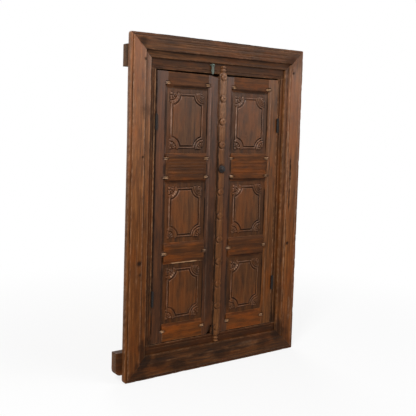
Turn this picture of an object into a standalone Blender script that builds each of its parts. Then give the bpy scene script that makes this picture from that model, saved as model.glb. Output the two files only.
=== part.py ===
"""An old teak window frame with a pair of panelled shutter leaves, made into a wall mirror.

The frame faces -Y, stands along Z and has its origin in the middle of its back, on the wall.
Two leaves hang on iron butt hinges and swing out towards the viewer. The mirror glass lies behind
them, in a rebate, under a thin backing board. All lengths are in metres.
"""

import math

import bmesh
import bpy
from mathutils import Matrix, Vector

# Fits
FIT_GAP = 0.0003
OVERRUN = 0.002

# Outside of the moulded boards
OVERALL_WIDTH = 0.830
OVERALL_HEIGHT = 1.280

# Moulded boards round the front, mitred at the corners
SIDE_BOARD_WIDTH = 0.091
TOP_BOARD_WIDTH = 0.085
BOTTOM_BOARD_WIDTH = 0.088
BOARD_THICKNESS = 0.020
OUTER_FILLET_DROP = 0.0045
INNER_STEP_DROP = 0.0022
INNER_EDGE_HEIGHT = 0.0105
BOARD_EASING = 0.0012
OUTER_FILLET_SHARE = 0.13
FLAT_END_SHARE = 0.70
COVE_END_SHARE = 0.94
COVE_STEPS = 5

# Timbers behind the boards
TIMBER_DEPTH = 0.032
JAMB_WIDTH = 0.075
LINTEL_HEIGHT = 0.080
SILL_HEIGHT = 0.093
JAMB_REVEAL = 0.028
LINTEL_REVEAL = 0.039
SILL_REVEAL = 0.035
LINTEL_HORN = 0.003
SILL_LEFT_HORN = 0.026
SILL_RIGHT_HORN = 0.010
HORN_SHOULDER = 0.008
SILL_CORNER_RADIUS = 0.020
CORNER_STEPS = 5
BEAD_WIDTH = 0.010
BEAD_HEIGHT = 0.003
BEAD_STEPS = 6
QUIRK_WIDTH = 0.0022
MITRE_OVERLAP = 0.0001
STOP_LIP_WIDTH = 0.010
STOP_GAP = 0.0008
JAMB_TENON_THICKNESS = 0.011
JAMB_TENON_WIDTH = 0.050
JAMB_TENON_LENGTH = 0.060
PEG_RADIUS = 0.0045
PEG_SIDES = 12

# Mirror and back
GLASS_THICKNESS = 0.004
GLASS_LAP = 0.008
BACKING_THICKNESS = 0.005
BACKING_LAP = 0.020
HANGER_HOLD = 0.030
HANGER_EAR = 0.0175
HANGER_HEIGHT = 0.044
HANGER_THICKNESS = 0.0025
HANGER_BELOW_TOP = 0.190
KEYHOLE_RADIUS = 0.0055
KEYHOLE_SLOT_WIDTH = 0.0055
KEYHOLE_SLOT_RISE = 0.014
KEYHOLE_SIDES = 12

# Shutter leaves
LEAF_THICKNESS = 0.020
LEAF_SIDE_GAP = 0.0015
LEAF_TOP_GAP = 0.005
LEAF_BOTTOM_GAP = 0.003
JOINT_GAP = 0.0024
JOINT_LINE_OFFSET = 0.0130
HANGING_STILE_WIDTH = 0.050
MEETING_STILE_WIDTH = 0.046
MEETING_STILE_SHOWING = 0.0385
TOP_RAIL_HEIGHT = 0.060
TOP_PANEL_HEIGHT = 0.244
UPPER_RAIL_HEIGHT = 0.112
MIDDLE_PANEL_HEIGHT = 0.228
BOTTOM_PANEL_HEIGHT = 0.230
LOWER_RAIL_HEIGHT = 0.083
BOTTOM_RAIL_HEIGHT = 0.068
GROOVE_DEPTH = 0.008
GROOVE_WIDTH = 0.007
GROOVE_SETBACK = 0.0085
TENON_THICKNESS = 0.006
TENON_LENGTH = 0.030
TENON_SHOULDER = 0.010
RAIL_CHAMFER_WIDTH = 0.012
RAIL_CHAMFER_DEPTH = 0.005
STILE_CHAMFER_WIDTH = 0.012
STILE_CHAMFER_DEPTH = 0.006
RUN_ON_TOP_RAIL = 0.017
RUN_ON_UPPER_RAIL = 0.020
RUN_ON_LOWER_RAIL = 0.034
RUN_ON_BOTTOM_RAIL = 0.028
CHAMFER_END_SLOPE_SHARE = 1.6
FLUTE_COUNT = 5
FLUTE_PITCH = 0.012
FLUTE_WIDTH = 0.009
FLUTE_DEPTH = 0.0018

# Raised and carved panels
TONGUE_CLEARANCE = 0.001
PANEL_THICKNESS = 0.0064
BEAD_INSET = 0.019
CORNER_RADIUS = 0.036
CORNER_STEPS_ON_PANEL = 8
CORNER_LEAD = 0.004
PANEL_BEAD_WIDTH = 0.006
PANEL_BEAD_HEIGHT = 0.0034
PANEL_BEAD_SLOPE = 0.0014
PANEL_GROOVE_WIDTH = 0.0028
PANEL_GROOVE_HEIGHT = 0.0009
FIELD_HEIGHT = 0.0042
FIELD_SLOPE = 0.003
FAN_MARGIN = 0.010
FAN_HUB_RADIUS = 0.006
FAN_HUB_HEIGHT = 0.0030
FAN_ROOT_RADIUS = 0.011
FAN_ROOT_HEIGHT = 0.0012
FAN_BELLY_RADIUS = 0.024
FAN_RIDGE_HEIGHT = 0.0038
FAN_VALLEY_HEIGHT = 0.0012
FAN_TIP_RADIUS = 0.0315
FAN_TIP_HEIGHT = 0.0009

# Carved strip that covers the joint of the leaves
ASTRAGAL_WIDTH = 0.0365
ASTRAGAL_CROWN = 0.0105
ASTRAGAL_EDGE = 0.0030
ASTRAGAL_STEPS = 6
TOP_FINIAL = 0.038
BOTTOM_FINIAL = 0.037
FINIAL_SHARES = (
    (1.00, 0.22, 0.40),
    (0.93, 0.50, 1.00),
    (0.80, 0.62, 1.40),
    (0.62, 0.60, 1.38),
    (0.46, 0.44, 0.90),
    (0.34, 0.52, 0.76),
    (0.18, 0.90, 0.96),
    (0.00, 1.00, 1.00),
)
BOSS_RADIUS = 0.0155
BOSS_HEIGHT = 0.0132
BOSS_SEAT = 0.0010
BOSS_SIDES = 12
BOSS_PROFILE_SHARES = ((1.00, 0.52), (0.90, 0.80), (0.66, 0.97), (0.36, 1.00), (0.20, 0.84))
BOSS_PLACE_SHARES = (0.024, 0.110, 0.196, 0.284, 0.371, 0.462, 0.555, 0.736, 0.825, 0.912, 0.993)
HOLLOW_WIDTH_SHARE = 0.84
HOLLOW_CROWN_SHARE = 0.90
HOLLOW_REACH = 0.0050
PULL_SEAT_HEIGHT = 0.0120

# Iron pull
PULL_HEIGHT_ABOVE_SILL = 0.663
PULL_SIDES = 16
PULL_ROSE_RADIUS = 0.0142
PULL_ROSE_THICKNESS = 0.0022
PULL_NECK_RADIUS = 0.0052
PULL_NECK_LENGTH = 0.0030
PULL_HEAD_RADIUS = 0.0100
PULL_HEAD_HALF_DEPTH = 0.0052
PULL_HEAD_STEPS = 6

# Iron butt hinges
HINGE_HEIGHT = 0.056
KNUCKLE_RADIUS = 0.0048
KNUCKLE_SIDES = 16
KNUCKLE_SPLIT_SHARE = 0.36
KNUCKLE_END_GAP = 0.0004
HINGE_PIN_RADIUS = 0.0020
HINGE_PIN_SIDES = 12
HINGE_PIN_HEAD_RADIUS = 0.0040
HINGE_PIN_HEAD_HEIGHT = 0.0022
HINGE_PLATE_THICKNESS = 0.0020
HINGE_PLATE_REACH = 0.018
UPPER_HINGE_BELOW_TOP = 0.188
LOWER_HINGE_ABOVE_BOTTOM = 0.174

# Iron hasp that hangs from the lintel
HASP_OFFSET = 0.047
HASP_WIDTH = 0.011
HASP_THICKNESS = 0.0030
HASP_EYE_RADIUS = 0.0045
HASP_EYE_SIDES = 16
HASP_TIP_CLEARANCE = 0.002
HASP_TIP_SHARE = 0.62
HASP_TAPER = 0.008
HASP_EYE_BELOW_BOARD = 0.0075
STAPLE_RADIUS = 0.0020
STAPLE_SIDES = 10
STAPLE_LEG_CLEARANCE = 0.0012
STAPLE_BITE = 0.012
STAPLE_BEND_STEPS = 4
STAPLE_STAND_OFF = 0.0056

# Where the main planes and edges lie
BACKING_FRONT = -BACKING_THICKNESS
TIMBER_BACK = BACKING_FRONT - FIT_GAP
TIMBER_FRONT = TIMBER_BACK - TIMBER_DEPTH
BOARD_BACK = TIMBER_FRONT - FIT_GAP
HALF_WIDTH = OVERALL_WIDTH / 2
HALF_HEIGHT = OVERALL_HEIGHT / 2
OPENING_HALF = HALF_WIDTH - SIDE_BOARD_WIDTH - JAMB_REVEAL
OPENING_TOP = HALF_HEIGHT - TOP_BOARD_WIDTH - LINTEL_REVEAL
OPENING_BOTTOM = BOTTOM_BOARD_WIDTH + SILL_REVEAL - HALF_HEIGHT
LEAF_ZONE = LEAF_THICKNESS + STOP_GAP
GLASS_REBATE = GLASS_THICKNESS + FIT_GAP
LEAF_TOP = OPENING_TOP - LEAF_TOP_GAP
LEAF_BOTTOM = OPENING_BOTTOM + LEAF_BOTTOM_GAP
PIN_SETOUT = KNUCKLE_RADIUS + FIT_GAP
PIN_Y = TIMBER_FRONT - PIN_SETOUT
ASTRAGAL_BACK = TIMBER_FRONT - FIT_GAP
ASTRAGAL_X = JOINT_GAP / 2 + ASTRAGAL_WIDTH / 2 - JOINT_LINE_OFFSET
PULL_Z = OPENING_BOTTOM + PULL_HEIGHT_ABOVE_SILL
LEFT, RIGHT = -1, 1


def clear_scene():
    """Takes every object out of the scene."""
    for old in list(bpy.data.objects):
        bpy.data.objects.remove(old, do_unlink=True)


def finish(name, color, roughness, metallic=0.0):
    """Makes a plain Principled material of one colour."""
    material = bpy.data.materials.new(name)
    material.use_nodes = True
    shader = material.node_tree.nodes["Principled BSDF"]
    shader.inputs["Base Color"].default_value = (*color, 1.0)
    shader.inputs["Roughness"].default_value = roughness
    shader.inputs["Metallic"].default_value = metallic
    return material


def add_object(name, bm, material=None):
    """Stores a bmesh as a named object whose faces point outwards."""
    bmesh.ops.recalc_face_normals(bm, faces=bm.faces)
    mesh = bpy.data.meshes.new(name)
    bm.to_mesh(mesh)
    bm.free()
    if material:
        mesh.materials.append(material)
    made = bpy.data.objects.new(name, mesh)
    bpy.context.scene.collection.objects.link(made)
    return made


def hold(piece, origin, parent=None):
    """Puts a piece's origin at a point, under its parent if it has one, and leaves its shape where it is."""
    origin = Vector(origin)
    piece.data.transform(Matrix.Translation(-origin))
    piece.location = origin
    if parent:
        piece.parent = parent
        piece.location = origin - parent.location
    return piece


def joint_empty(name, place):
    """An empty on the axis of a joint, for the pieces that turn on it."""
    empty = bpy.data.objects.new(name, None)
    empty.location = place
    bpy.context.scene.collection.objects.link(empty)
    return empty


def combine(piece, tool, operation):
    """Cuts a piece with a tool, or joins the tool to it, and uses the tool up."""
    modifier = piece.modifiers.new(operation.lower(), "BOOLEAN")
    modifier.operation = operation
    modifier.solver = "EXACT"
    modifier.object = tool
    graph = bpy.context.evaluated_depsgraph_get()
    result = bpy.data.meshes.new_from_object(piece.evaluated_get(graph))
    piece.modifiers.clear()
    piece.data = result
    bpy.data.objects.remove(tool, do_unlink=True)
    return piece


def cut(piece, *tools):
    """Cuts a piece with each tool in turn."""
    for tool in tools:
        combine(piece, tool, "DIFFERENCE")
    return piece


def join(piece, *others):
    """Joins other solids to a piece, which stays one body."""
    for other in others:
        combine(piece, other, "UNION")
    return piece


def loft(name, rings, material=None):
    """A closed skin over rings of equal numbers of points, with flat ends."""
    bm = bmesh.new()
    loops = [[bm.verts.new(point) for point in ring] for ring in rings]
    for low, high in zip(loops, loops[1:]):
        for k, vert in enumerate(low):
            following = (k + 1) % len(low)
            bm.faces.new((vert, low[following], high[following], high[k]))
    bm.faces.new(loops[0])
    bm.faces.new(loops[-1])
    return add_object(name, bm, material)


def prism(name, section, start, end, place, material=None):
    """A straight length of one section.

    section is the outline, as (u, v) points. start and end give the run's ends, as numbers or as
    functions of (u, v) for a slanted end. place turns (u, v, run) into a point of the frame.
    """
    rings = []
    for rule in (start, end):
        rings.append([place(u, v, rule(u, v) if callable(rule) else rule) for u, v in section])
    return loft(name, rings, material)


def box(name, low, high, material=None):
    """A block between two corners."""
    section = [(low[0], low[1]), (high[0], low[1]), (high[0], high[1]), (low[0], high[1])]
    return prism(name, section, low[2], high[2], lambda u, v, run: (u, v, run), material)


def turned(name, profile, sides, place, material=None):
    """A turned solid. profile holds (radius, height) points, place gives (across, along, height)."""
    rings = []
    for radius, height in profile:
        angles = [2 * math.pi * (k + 0.5) / sides for k in range(sides)]
        rings.append([place(radius * math.cos(a), radius * math.sin(a), height) for a in angles])
    return loft(name, rings, material)


def upright(x, y, z):
    """A place rule for turned solids that stand along Z on a point."""
    return lambda across, along, height: (x + across, y + along, z + height)


def outwards(x, y, z):
    """A place rule for turned solids that stand out of the front, along -Y, on a point."""
    return lambda across, along, height: (x + across, y - height, z + along)


def arc(centre, radii, first, last, steps):
    """Points of an elliptical arc between two angles in degrees, both ends included."""
    points = []
    for k in range(steps + 1):
        angle = math.radians(first + (last - first) * k / steps)
        points.append((centre[0] + radii[0] * math.cos(angle), centre[1] + radii[1] * math.sin(angle)))
    return points


# Moulded boards

def board_section(width):
    """Outline across a moulded board: distance in from its outer edge, height off its back."""
    face = BOARD_THICKNESS
    fillet = face - OUTER_FILLET_DROP
    fillet_end = OUTER_FILLET_SHARE * width
    flat_end = FLAT_END_SHARE * width
    cove_end = COVE_END_SHARE * width
    cove_top = face - INNER_STEP_DROP
    cove = arc((cove_end, cove_top), (cove_end - flat_end, cove_top - INNER_EDGE_HEIGHT), 180, 270, COVE_STEPS)
    return [
        (0, 0),
        (0, fillet - BOARD_EASING),
        (BOARD_EASING, fillet),
        (fillet_end, fillet),
        (fillet_end, face - BOARD_EASING),
        (fillet_end + BOARD_EASING, face),
        (flat_end, face),
        *cove,
        (width - BOARD_EASING, INNER_EDGE_HEIGHT),
        (width, INNER_EDGE_HEIGHT - BOARD_EASING),
        (width, 0),
    ]


def moulded_boards(material):
    """The four boards, each mitred to its neighbours with a hair's gap."""
    def side_place(side):
        return lambda u, v, run: (side * (HALF_WIDTH - u), BOARD_BACK - v, run)

    def rail_place(level):
        return lambda u, v, run: (run, BOARD_BACK - v, level * (HALF_HEIGHT - u))

    to_top = TOP_BOARD_WIDTH / SIDE_BOARD_WIDTH
    to_bottom = BOTTOM_BOARD_WIDTH / SIDE_BOARD_WIDTH
    side_section = board_section(SIDE_BOARD_WIDTH)
    for side, name in ((LEFT, "left_board"), (RIGHT, "right_board")):
        board = prism(
            name, side_section,
            lambda u, v: FIT_GAP + u * to_bottom - HALF_HEIGHT,
            lambda u, v: HALF_HEIGHT - FIT_GAP - u * to_top,
            side_place(side), material,
        )
        hold(board, (side * HALF_WIDTH, BOARD_BACK, 0))
    for level, name, width in ((1, "top_board", TOP_BOARD_WIDTH), (-1, "bottom_board", BOTTOM_BOARD_WIDTH)):
        slant = SIDE_BOARD_WIDTH / width
        board = prism(
            name, board_section(width),
            lambda u, v, slant=slant: FIT_GAP + u * slant - HALF_WIDTH,
            lambda u, v, slant=slant: HALF_WIDTH - FIT_GAP - u * slant,
            rail_place(level), material,
        )
        hold(board, (0, BOARD_BACK, level * HALF_HEIGHT))


# Timbers

def bead_arc():
    """The bead along the edge of the opening: distance out from the edge, depth behind the face."""
    half = BEAD_WIDTH / 2
    return [(u, -v) for u, v in arc((half, -BEAD_HEIGHT), (half, BEAD_HEIGHT), 180, 0, BEAD_STEPS)]


def jamb_section():
    """Outline across a jamb: bead and quirk in front, stop lip and glass rebate behind."""
    quirk_end = BEAD_WIDTH + QUIRK_WIDTH
    lap_end = GLASS_LAP - STOP_LIP_WIDTH
    return [
        *bead_arc(),
        (quirk_end, BEAD_HEIGHT),
        (quirk_end, 0),
        (JAMB_WIDTH, 0),
        (JAMB_WIDTH, TIMBER_DEPTH),
        (lap_end, TIMBER_DEPTH),
        (lap_end, TIMBER_DEPTH - GLASS_REBATE),
        (-STOP_LIP_WIDTH, TIMBER_DEPTH - GLASS_REBATE),
        (-STOP_LIP_WIDTH, LEAF_ZONE),
        (0, LEAF_ZONE),
    ]


def bead_cutter_section():
    """What is cut away from a square edge to leave the bead and its quirk."""
    quirk_end = BEAD_WIDTH + QUIRK_WIDTH
    return [
        (-OVERRUN, BEAD_HEIGHT),
        *bead_arc(),
        (quirk_end, BEAD_HEIGHT),
        (quirk_end, -OVERRUN),
        (-OVERRUN, -OVERRUN),
    ]


def peg_place(side, outward, edge):
    """The middle of the peg that holds a jamb's tenon."""
    return side * (OPENING_HALF + JAMB_WIDTH / 2), edge + outward * JAMB_TENON_LENGTH / 2


def peg_hole(side, outward, edge):
    """A cutter for the hole of a frame peg, right through the timber."""
    x, z = peg_place(side, outward, edge)
    radius = PEG_RADIUS + FIT_GAP
    profile = ((radius, -OVERRUN), (radius, TIMBER_DEPTH + OVERRUN))
    return turned("peg_hole", profile, PEG_SIDES, outwards(x, TIMBER_BACK, z))


def cross_timber(name, outward, height, horns, shoulder, corner_radius, material):
    """The lintel or the sill, which run through to horns past the boards.

    outward is 1 for the lintel above the opening and -1 for the sill below it. horns gives the
    left and the right horn's reach. shoulder is how much lower than the opening's edge they stand.
    """
    edge = OPENING_TOP if outward > 0 else OPENING_BOTTOM
    lip_half = OPENING_HALF - STOP_LIP_WIDTH - FIT_GAP
    shoulder_half = OPENING_HALF + JAMB_WIDTH + FIT_GAP

    def half_outline(horn):
        """One half of the timber's outline, as distances from the middle and from the edge."""
        end = HALF_WIDTH + horn
        points = [(lip_half, -STOP_LIP_WIDTH), (lip_half, 0)]
        if shoulder:
            points += [(shoulder_half, 0), (shoulder_half, shoulder)]
        points.append((end, shoulder))
        if corner_radius:
            centre = (end - corner_radius, height - corner_radius)
            points += arc(centre, (corner_radius, corner_radius), 0, 90, CORNER_STEPS)
        else:
            points.append((end, height))
        return points

    left_horn, right_horn = horns
    outline = half_outline(right_horn)
    outline += [(-x, z) for x, z in reversed(half_outline(left_horn))]

    timber = prism(
        name, outline, TIMBER_FRONT, TIMBER_BACK,
        lambda u, v, run: (u, run, edge + outward * v), material,
    )

    def strip(tool, near, far, front, back, half):
        """A box cutter along the opening, from near to far of its edge."""
        spans = sorted((edge + outward * near, edge + outward * far))
        return box(tool, (-half, front, spans[0]), (half, back, spans[1]))

    below_lip = -STOP_LIP_WIDTH - OVERRUN
    lip_front = TIMBER_FRONT + LEAF_ZONE
    rebate_front = TIMBER_BACK - GLASS_REBATE
    over = lip_half + OVERRUN
    cut(
        timber,
        strip("leaf_space", below_lip, 0, TIMBER_FRONT - OVERRUN, lip_front, over),
        strip("glass_rebate", below_lip, GLASS_LAP - STOP_LIP_WIDTH, rebate_front, TIMBER_BACK + OVERRUN, over),
        prism(
            "edge_bead", bead_cutter_section(),
            lambda u, v: -OPENING_HALF - u, lambda u, v: OPENING_HALF + u,
            lambda u, v, run: (run, TIMBER_FRONT + v, edge + outward * u),
        ),
    )
    for side in (LEFT, RIGHT):
        cut(
            timber,
            prism(
                "bead_return", bead_cutter_section(), -OVERRUN, lambda u, v: u + MITRE_OVERLAP,
                lambda u, v, run, side=side: (side * (OPENING_HALF + u), TIMBER_FRONT + v, edge + outward * run),
            ),
            tenon_block("mortise", side, outward, edge, FIT_GAP, OVERRUN),
            peg_hole(side, outward, edge),
        )
    return hold(timber, (0, TIMBER_BACK, edge))


def tenon_block(name, side, outward, edge, clearance, root):
    """A jamb's tenon, or with clearance its mortise. root is how far it starts inside the jamb."""
    middle_x = side * (OPENING_HALF + JAMB_WIDTH / 2)
    middle_y = (TIMBER_FRONT + TIMBER_BACK) / 2
    half_width = JAMB_TENON_WIDTH / 2 + clearance
    half_thickness = JAMB_TENON_THICKNESS / 2 + clearance
    spans = sorted((edge - outward * root, edge + outward * (JAMB_TENON_LENGTH + clearance)))
    return box(
        name,
        (middle_x - half_width, middle_y - half_thickness, spans[0]),
        (middle_x + half_width, middle_y + half_thickness, spans[1]),
    )


def hinge_levels():
    """The middle height of the upper and the lower hinges."""
    return {"upper": LEAF_TOP - UPPER_HINGE_BELOW_TOP, "lower": LEAF_BOTTOM + LOWER_HINGE_ABOVE_BOTTOM}


def plate_recess(wood_face, inwards, middle_z):
    """A cutter for the shallow recess that takes a hinge plate.

    wood_face is the x of the wood's edge, inwards is the direction into the wood along x.
    """
    spans = sorted((wood_face - inwards * OVERRUN, wood_face + inwards * (HINGE_PLATE_THICKNESS + FIT_GAP)))
    half = HINGE_HEIGHT / 2 + FIT_GAP
    back = PIN_Y + PIN_SETOUT + HINGE_PLATE_REACH + FIT_GAP
    return box("plate_recess", (spans[0], TIMBER_FRONT - OVERRUN, middle_z - half), (spans[1], back, middle_z + half))


def jamb(name, side, material):
    """An upright timber with its tenons, hinge recesses and peg holes."""
    upright_timber = prism(
        name, jamb_section(), OPENING_BOTTOM + FIT_GAP, OPENING_TOP - FIT_GAP,
        lambda u, v, run: (side * (OPENING_HALF + u), TIMBER_FRONT + v, run), material,
    )
    for outward, edge in ((1, OPENING_TOP), (-1, OPENING_BOTTOM)):
        join(upright_timber, tenon_block("tenon", side, outward, edge, 0, JAMB_TENON_THICKNESS))
        cut(upright_timber, peg_hole(side, outward, edge))
    for middle_z in hinge_levels().values():
        cut(upright_timber, plate_recess(side * OPENING_HALF, side, middle_z))
    return hold(upright_timber, (side * OPENING_HALF, TIMBER_BACK, 0))


def frame_pegs(material):
    """The four round pegs through the frame's tenons."""
    levels = ((1, OPENING_TOP, "top"), (-1, OPENING_BOTTOM, "bottom"))
    for side, word in ((LEFT, "left"), (RIGHT, "right")):
        for outward, edge, level in levels:
            x, z = peg_place(side, outward, edge)
            profile = ((PEG_RADIUS, FIT_GAP), (PEG_RADIUS, TIMBER_DEPTH - FIT_GAP))
            peg = turned(f"{word}_{level}_peg", profile, PEG_SIDES, outwards(x, TIMBER_BACK, z), material)
            hold(peg, (x, TIMBER_BACK, z))


# Mirror, backing board and hanging plates

def mirror_and_back(glass_material, backing_material):
    """The glass in its rebate and the thin board that closes the back."""
    glass_half = OPENING_HALF - STOP_LIP_WIDTH + GLASS_LAP - FIT_GAP
    glass_low = OPENING_BOTTOM + STOP_LIP_WIDTH - GLASS_LAP + FIT_GAP
    glass_high = OPENING_TOP - STOP_LIP_WIDTH + GLASS_LAP - FIT_GAP
    glass = box(
        "mirror_glass",
        (-glass_half, TIMBER_BACK - GLASS_THICKNESS, glass_low),
        (glass_half, TIMBER_BACK, glass_high), glass_material,
    )
    hold(glass, (0, TIMBER_BACK, (glass_low + glass_high) / 2))
    board_half = OPENING_HALF + BACKING_LAP
    backing = box(
        "backing_board",
        (-board_half, BACKING_FRONT, OPENING_BOTTOM - BACKING_LAP),
        (board_half, 0, OPENING_TOP + BACKING_LAP), backing_material,
    )
    hold(backing, (0, 0, 0))


def hanging_plate(name, side, material):
    """A flat steel plate on the back of a jamb, whose ear stands out behind the board with a keyhole."""
    jamb_edge = side * (OPENING_HALF + JAMB_WIDTH)
    level = HALF_HEIGHT - HANGER_BELOW_TOP
    front = TIMBER_BACK + FIT_GAP
    back = front + HANGER_THICKNESS
    across = sorted((jamb_edge - side * HANGER_HOLD, jamb_edge + side * HANGER_EAR))
    plate = box(
        name,
        (across[0], front, level - HANGER_HEIGHT / 2),
        (across[1], back, level + HANGER_HEIGHT / 2), material,
    )
    x = jamb_edge + side * HANGER_EAR / 2
    z = level - KEYHOLE_SLOT_RISE / 2
    slot = KEYHOLE_SLOT_WIDTH / 2
    open_angle = math.degrees(math.acos(slot / KEYHOLE_RADIUS))
    outline = arc((0, 0), (KEYHOLE_RADIUS, KEYHOLE_RADIUS), 180 - open_angle, 360 + open_angle, KEYHOLE_SIDES)
    outline += arc((0, KEYHOLE_SLOT_RISE), (slot, slot), 0, 180, KEYHOLE_SIDES // 2)
    keyhole = prism(
        "keyhole", outline, front - OVERRUN, back + OVERRUN,
        lambda u, v, run: (x + u, run, z + v),
    )
    cut(plate, keyhole)
    return hold(plate, (jamb_edge, front, level))


# Leaves

def leaf_edges(side):
    """The x of a leaf's hinge edge and of its meeting edge."""
    hinge_edge = side * (OPENING_HALF - LEAF_SIDE_GAP)
    meeting_edge = side * JOINT_GAP / 2 - JOINT_LINE_OFFSET
    return hinge_edge, meeting_edge


def stile_widths(side):
    """The widths of a leaf's hanging and meeting stiles. The right one also carries the strip."""
    if side == LEFT:
        return HANGING_STILE_WIDTH, MEETING_STILE_WIDTH
    return HANGING_STILE_WIDTH, ASTRAGAL_WIDTH + MEETING_STILE_SHOWING


def leaf_levels():
    """Each rail's lower and upper edge, from the top rail down to the bottom one.

    The rails keep their heights, and the panels share what is left of the leaf in proportion.
    """
    heights = (
        ("top_rail", TOP_RAIL_HEIGHT, TOP_PANEL_HEIGHT),
        ("upper_rail", UPPER_RAIL_HEIGHT, MIDDLE_PANEL_HEIGHT),
        ("lower_rail", LOWER_RAIL_HEIGHT, BOTTOM_PANEL_HEIGHT),
        ("bottom_rail", BOTTOM_RAIL_HEIGHT, 0),
    )
    free = LEAF_TOP - LEAF_BOTTOM - sum(rail for _, rail, _ in heights)
    panel_scale = free / sum(panel for _, _, panel in heights)
    levels = {}
    high = LEAF_TOP
    for name, rail, panel in heights:
        levels[name] = (high - rail, high)
        high -= rail + panel * panel_scale
    return levels


def stile_section(width):
    """Outline across a stile: distance in from its outer edge, depth behind the face."""
    groove_back = GROOVE_SETBACK + GROOVE_WIDTH
    return [
        (0, 0),
        (width, 0),
        (width, GROOVE_SETBACK),
        (width - GROOVE_DEPTH, GROOVE_SETBACK),
        (width - GROOVE_DEPTH, groove_back),
        (width, groove_back),
        (width, LEAF_THICKNESS),
        (0, LEAF_THICKNESS),
    ]


def rail_ends(bounds):
    """The height range of a rail's tenons."""
    return bounds[0] + TENON_SHOULDER, bounds[1] - TENON_SHOULDER


def tenon_depths(clearance):
    """The front and back of a rail tenon, or with clearance of its mortise, behind the leaf's face."""
    middle = GROOVE_SETBACK + GROOVE_WIDTH / 2
    return middle - TENON_THICKNESS / 2 - clearance, middle + TENON_THICKNESS / 2 + clearance


def chamfer_runs(levels):
    """Where the stiles' chamfers start and stop, with their run on past each panel."""
    return (
        (levels["upper_rail"][1] - RUN_ON_UPPER_RAIL, levels["top_rail"][0] + RUN_ON_TOP_RAIL),
        (levels["lower_rail"][1] - RUN_ON_LOWER_RAIL, levels["upper_rail"][0] + RUN_ON_UPPER_RAIL),
        (levels["bottom_rail"][1] - RUN_ON_BOTTOM_RAIL, levels["lower_rail"][0] + RUN_ON_LOWER_RAIL),
    )


def stile(name, outer_edge, inwards, width, levels, hinged, material):
    """An upright of a leaf, with groove, mortises, stopped chamfers and any hinge recesses."""
    upright_piece = prism(
        name, stile_section(width), LEAF_BOTTOM, LEAF_TOP,
        lambda u, v, run: (outer_edge + inwards * u, TIMBER_FRONT + v, run), material,
    )
    inner_edge = outer_edge + inwards * width
    front, back = tenon_depths(FIT_GAP)
    for bounds in levels.values():
        low, high = rail_ends(bounds)
        spans = sorted((inner_edge + inwards * OVERRUN, inner_edge - inwards * (TENON_LENGTH + FIT_GAP)))
        cut(upright_piece, box(
            "mortise",
            (spans[0], TIMBER_FRONT + front, low - FIT_GAP),
            (spans[1], TIMBER_FRONT + back, high + FIT_GAP),
        ))
    slope = STILE_CHAMFER_DEPTH / STILE_CHAMFER_WIDTH
    reach = STILE_CHAMFER_WIDTH + OVERRUN / slope
    drop = STILE_CHAMFER_DEPTH + OVERRUN * slope
    section = [(OVERRUN, drop), (-reach, -OVERRUN), (OVERRUN, -OVERRUN)]

    def past(u, v):
        """How far a point lies in front of the chamfer's plane."""
        return (STILE_CHAMFER_DEPTH - v + u * slope) * CHAMFER_END_SLOPE_SHARE

    for low, high in chamfer_runs(levels):
        cut(upright_piece, prism(
            "chamfer", section,
            lambda u, v, low=low: low - past(u, v), lambda u, v, high=high: high + past(u, v),
            lambda u, v, run: (inner_edge + inwards * u, TIMBER_FRONT + v, run),
        ))
    if hinged:
        for middle_z in hinge_levels().values():
            cut(upright_piece, plate_recess(outer_edge, inwards, middle_z))
    return upright_piece


def rail_edge(panelled):
    """The outline of a rail's edge from back to front: distance into the rail, depth behind the face."""
    if not panelled:
        return [(0, LEAF_THICKNESS), (0, 0)]
    groove_back = GROOVE_SETBACK + GROOVE_WIDTH
    return [
        (0, LEAF_THICKNESS),
        (0, groove_back),
        (GROOVE_DEPTH, groove_back),
        (GROOVE_DEPTH, GROOVE_SETBACK),
        (0, GROOVE_SETBACK),
        (0, RAIL_CHAMFER_DEPTH),
        (RAIL_CHAMFER_WIDTH, 0),
    ]


def rail_section(height, panel_below, panel_above, flutes):
    """Outline across a rail: height above its lower edge, depth behind the face."""
    points = rail_edge(panel_below)
    first = height / 2 - FLUTE_PITCH * (flutes - 1) / 2
    for k in range(flutes):
        middle = first + k * FLUTE_PITCH
        points += [(middle - FLUTE_WIDTH / 2, 0), (middle, FLUTE_DEPTH), (middle + FLUTE_WIDTH / 2, 0)]
    points += [(height - u, v) for u, v in reversed(rail_edge(panel_above))]
    return points


def rail(name, near, far, bounds, panel_below, panel_above, flutes, material):
    """A cross piece of a leaf between the stiles' inner edges, with a tenon at each end."""
    low_x, high_x = sorted((near, far))
    section = rail_section(bounds[1] - bounds[0], panel_below, panel_above, flutes)
    piece = prism(
        name, section, low_x + FIT_GAP, high_x - FIT_GAP,
        lambda u, v, run: (run, TIMBER_FRONT + v, bounds[0] + u), material,
    )
    low, high = rail_ends(bounds)
    front, back = tenon_depths(0)
    return join(piece, box(
        "tenons",
        (low_x - TENON_LENGTH, TIMBER_FRONT + front, low),
        (high_x + TENON_LENGTH, TIMBER_FRONT + back, high),
    ))


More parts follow.
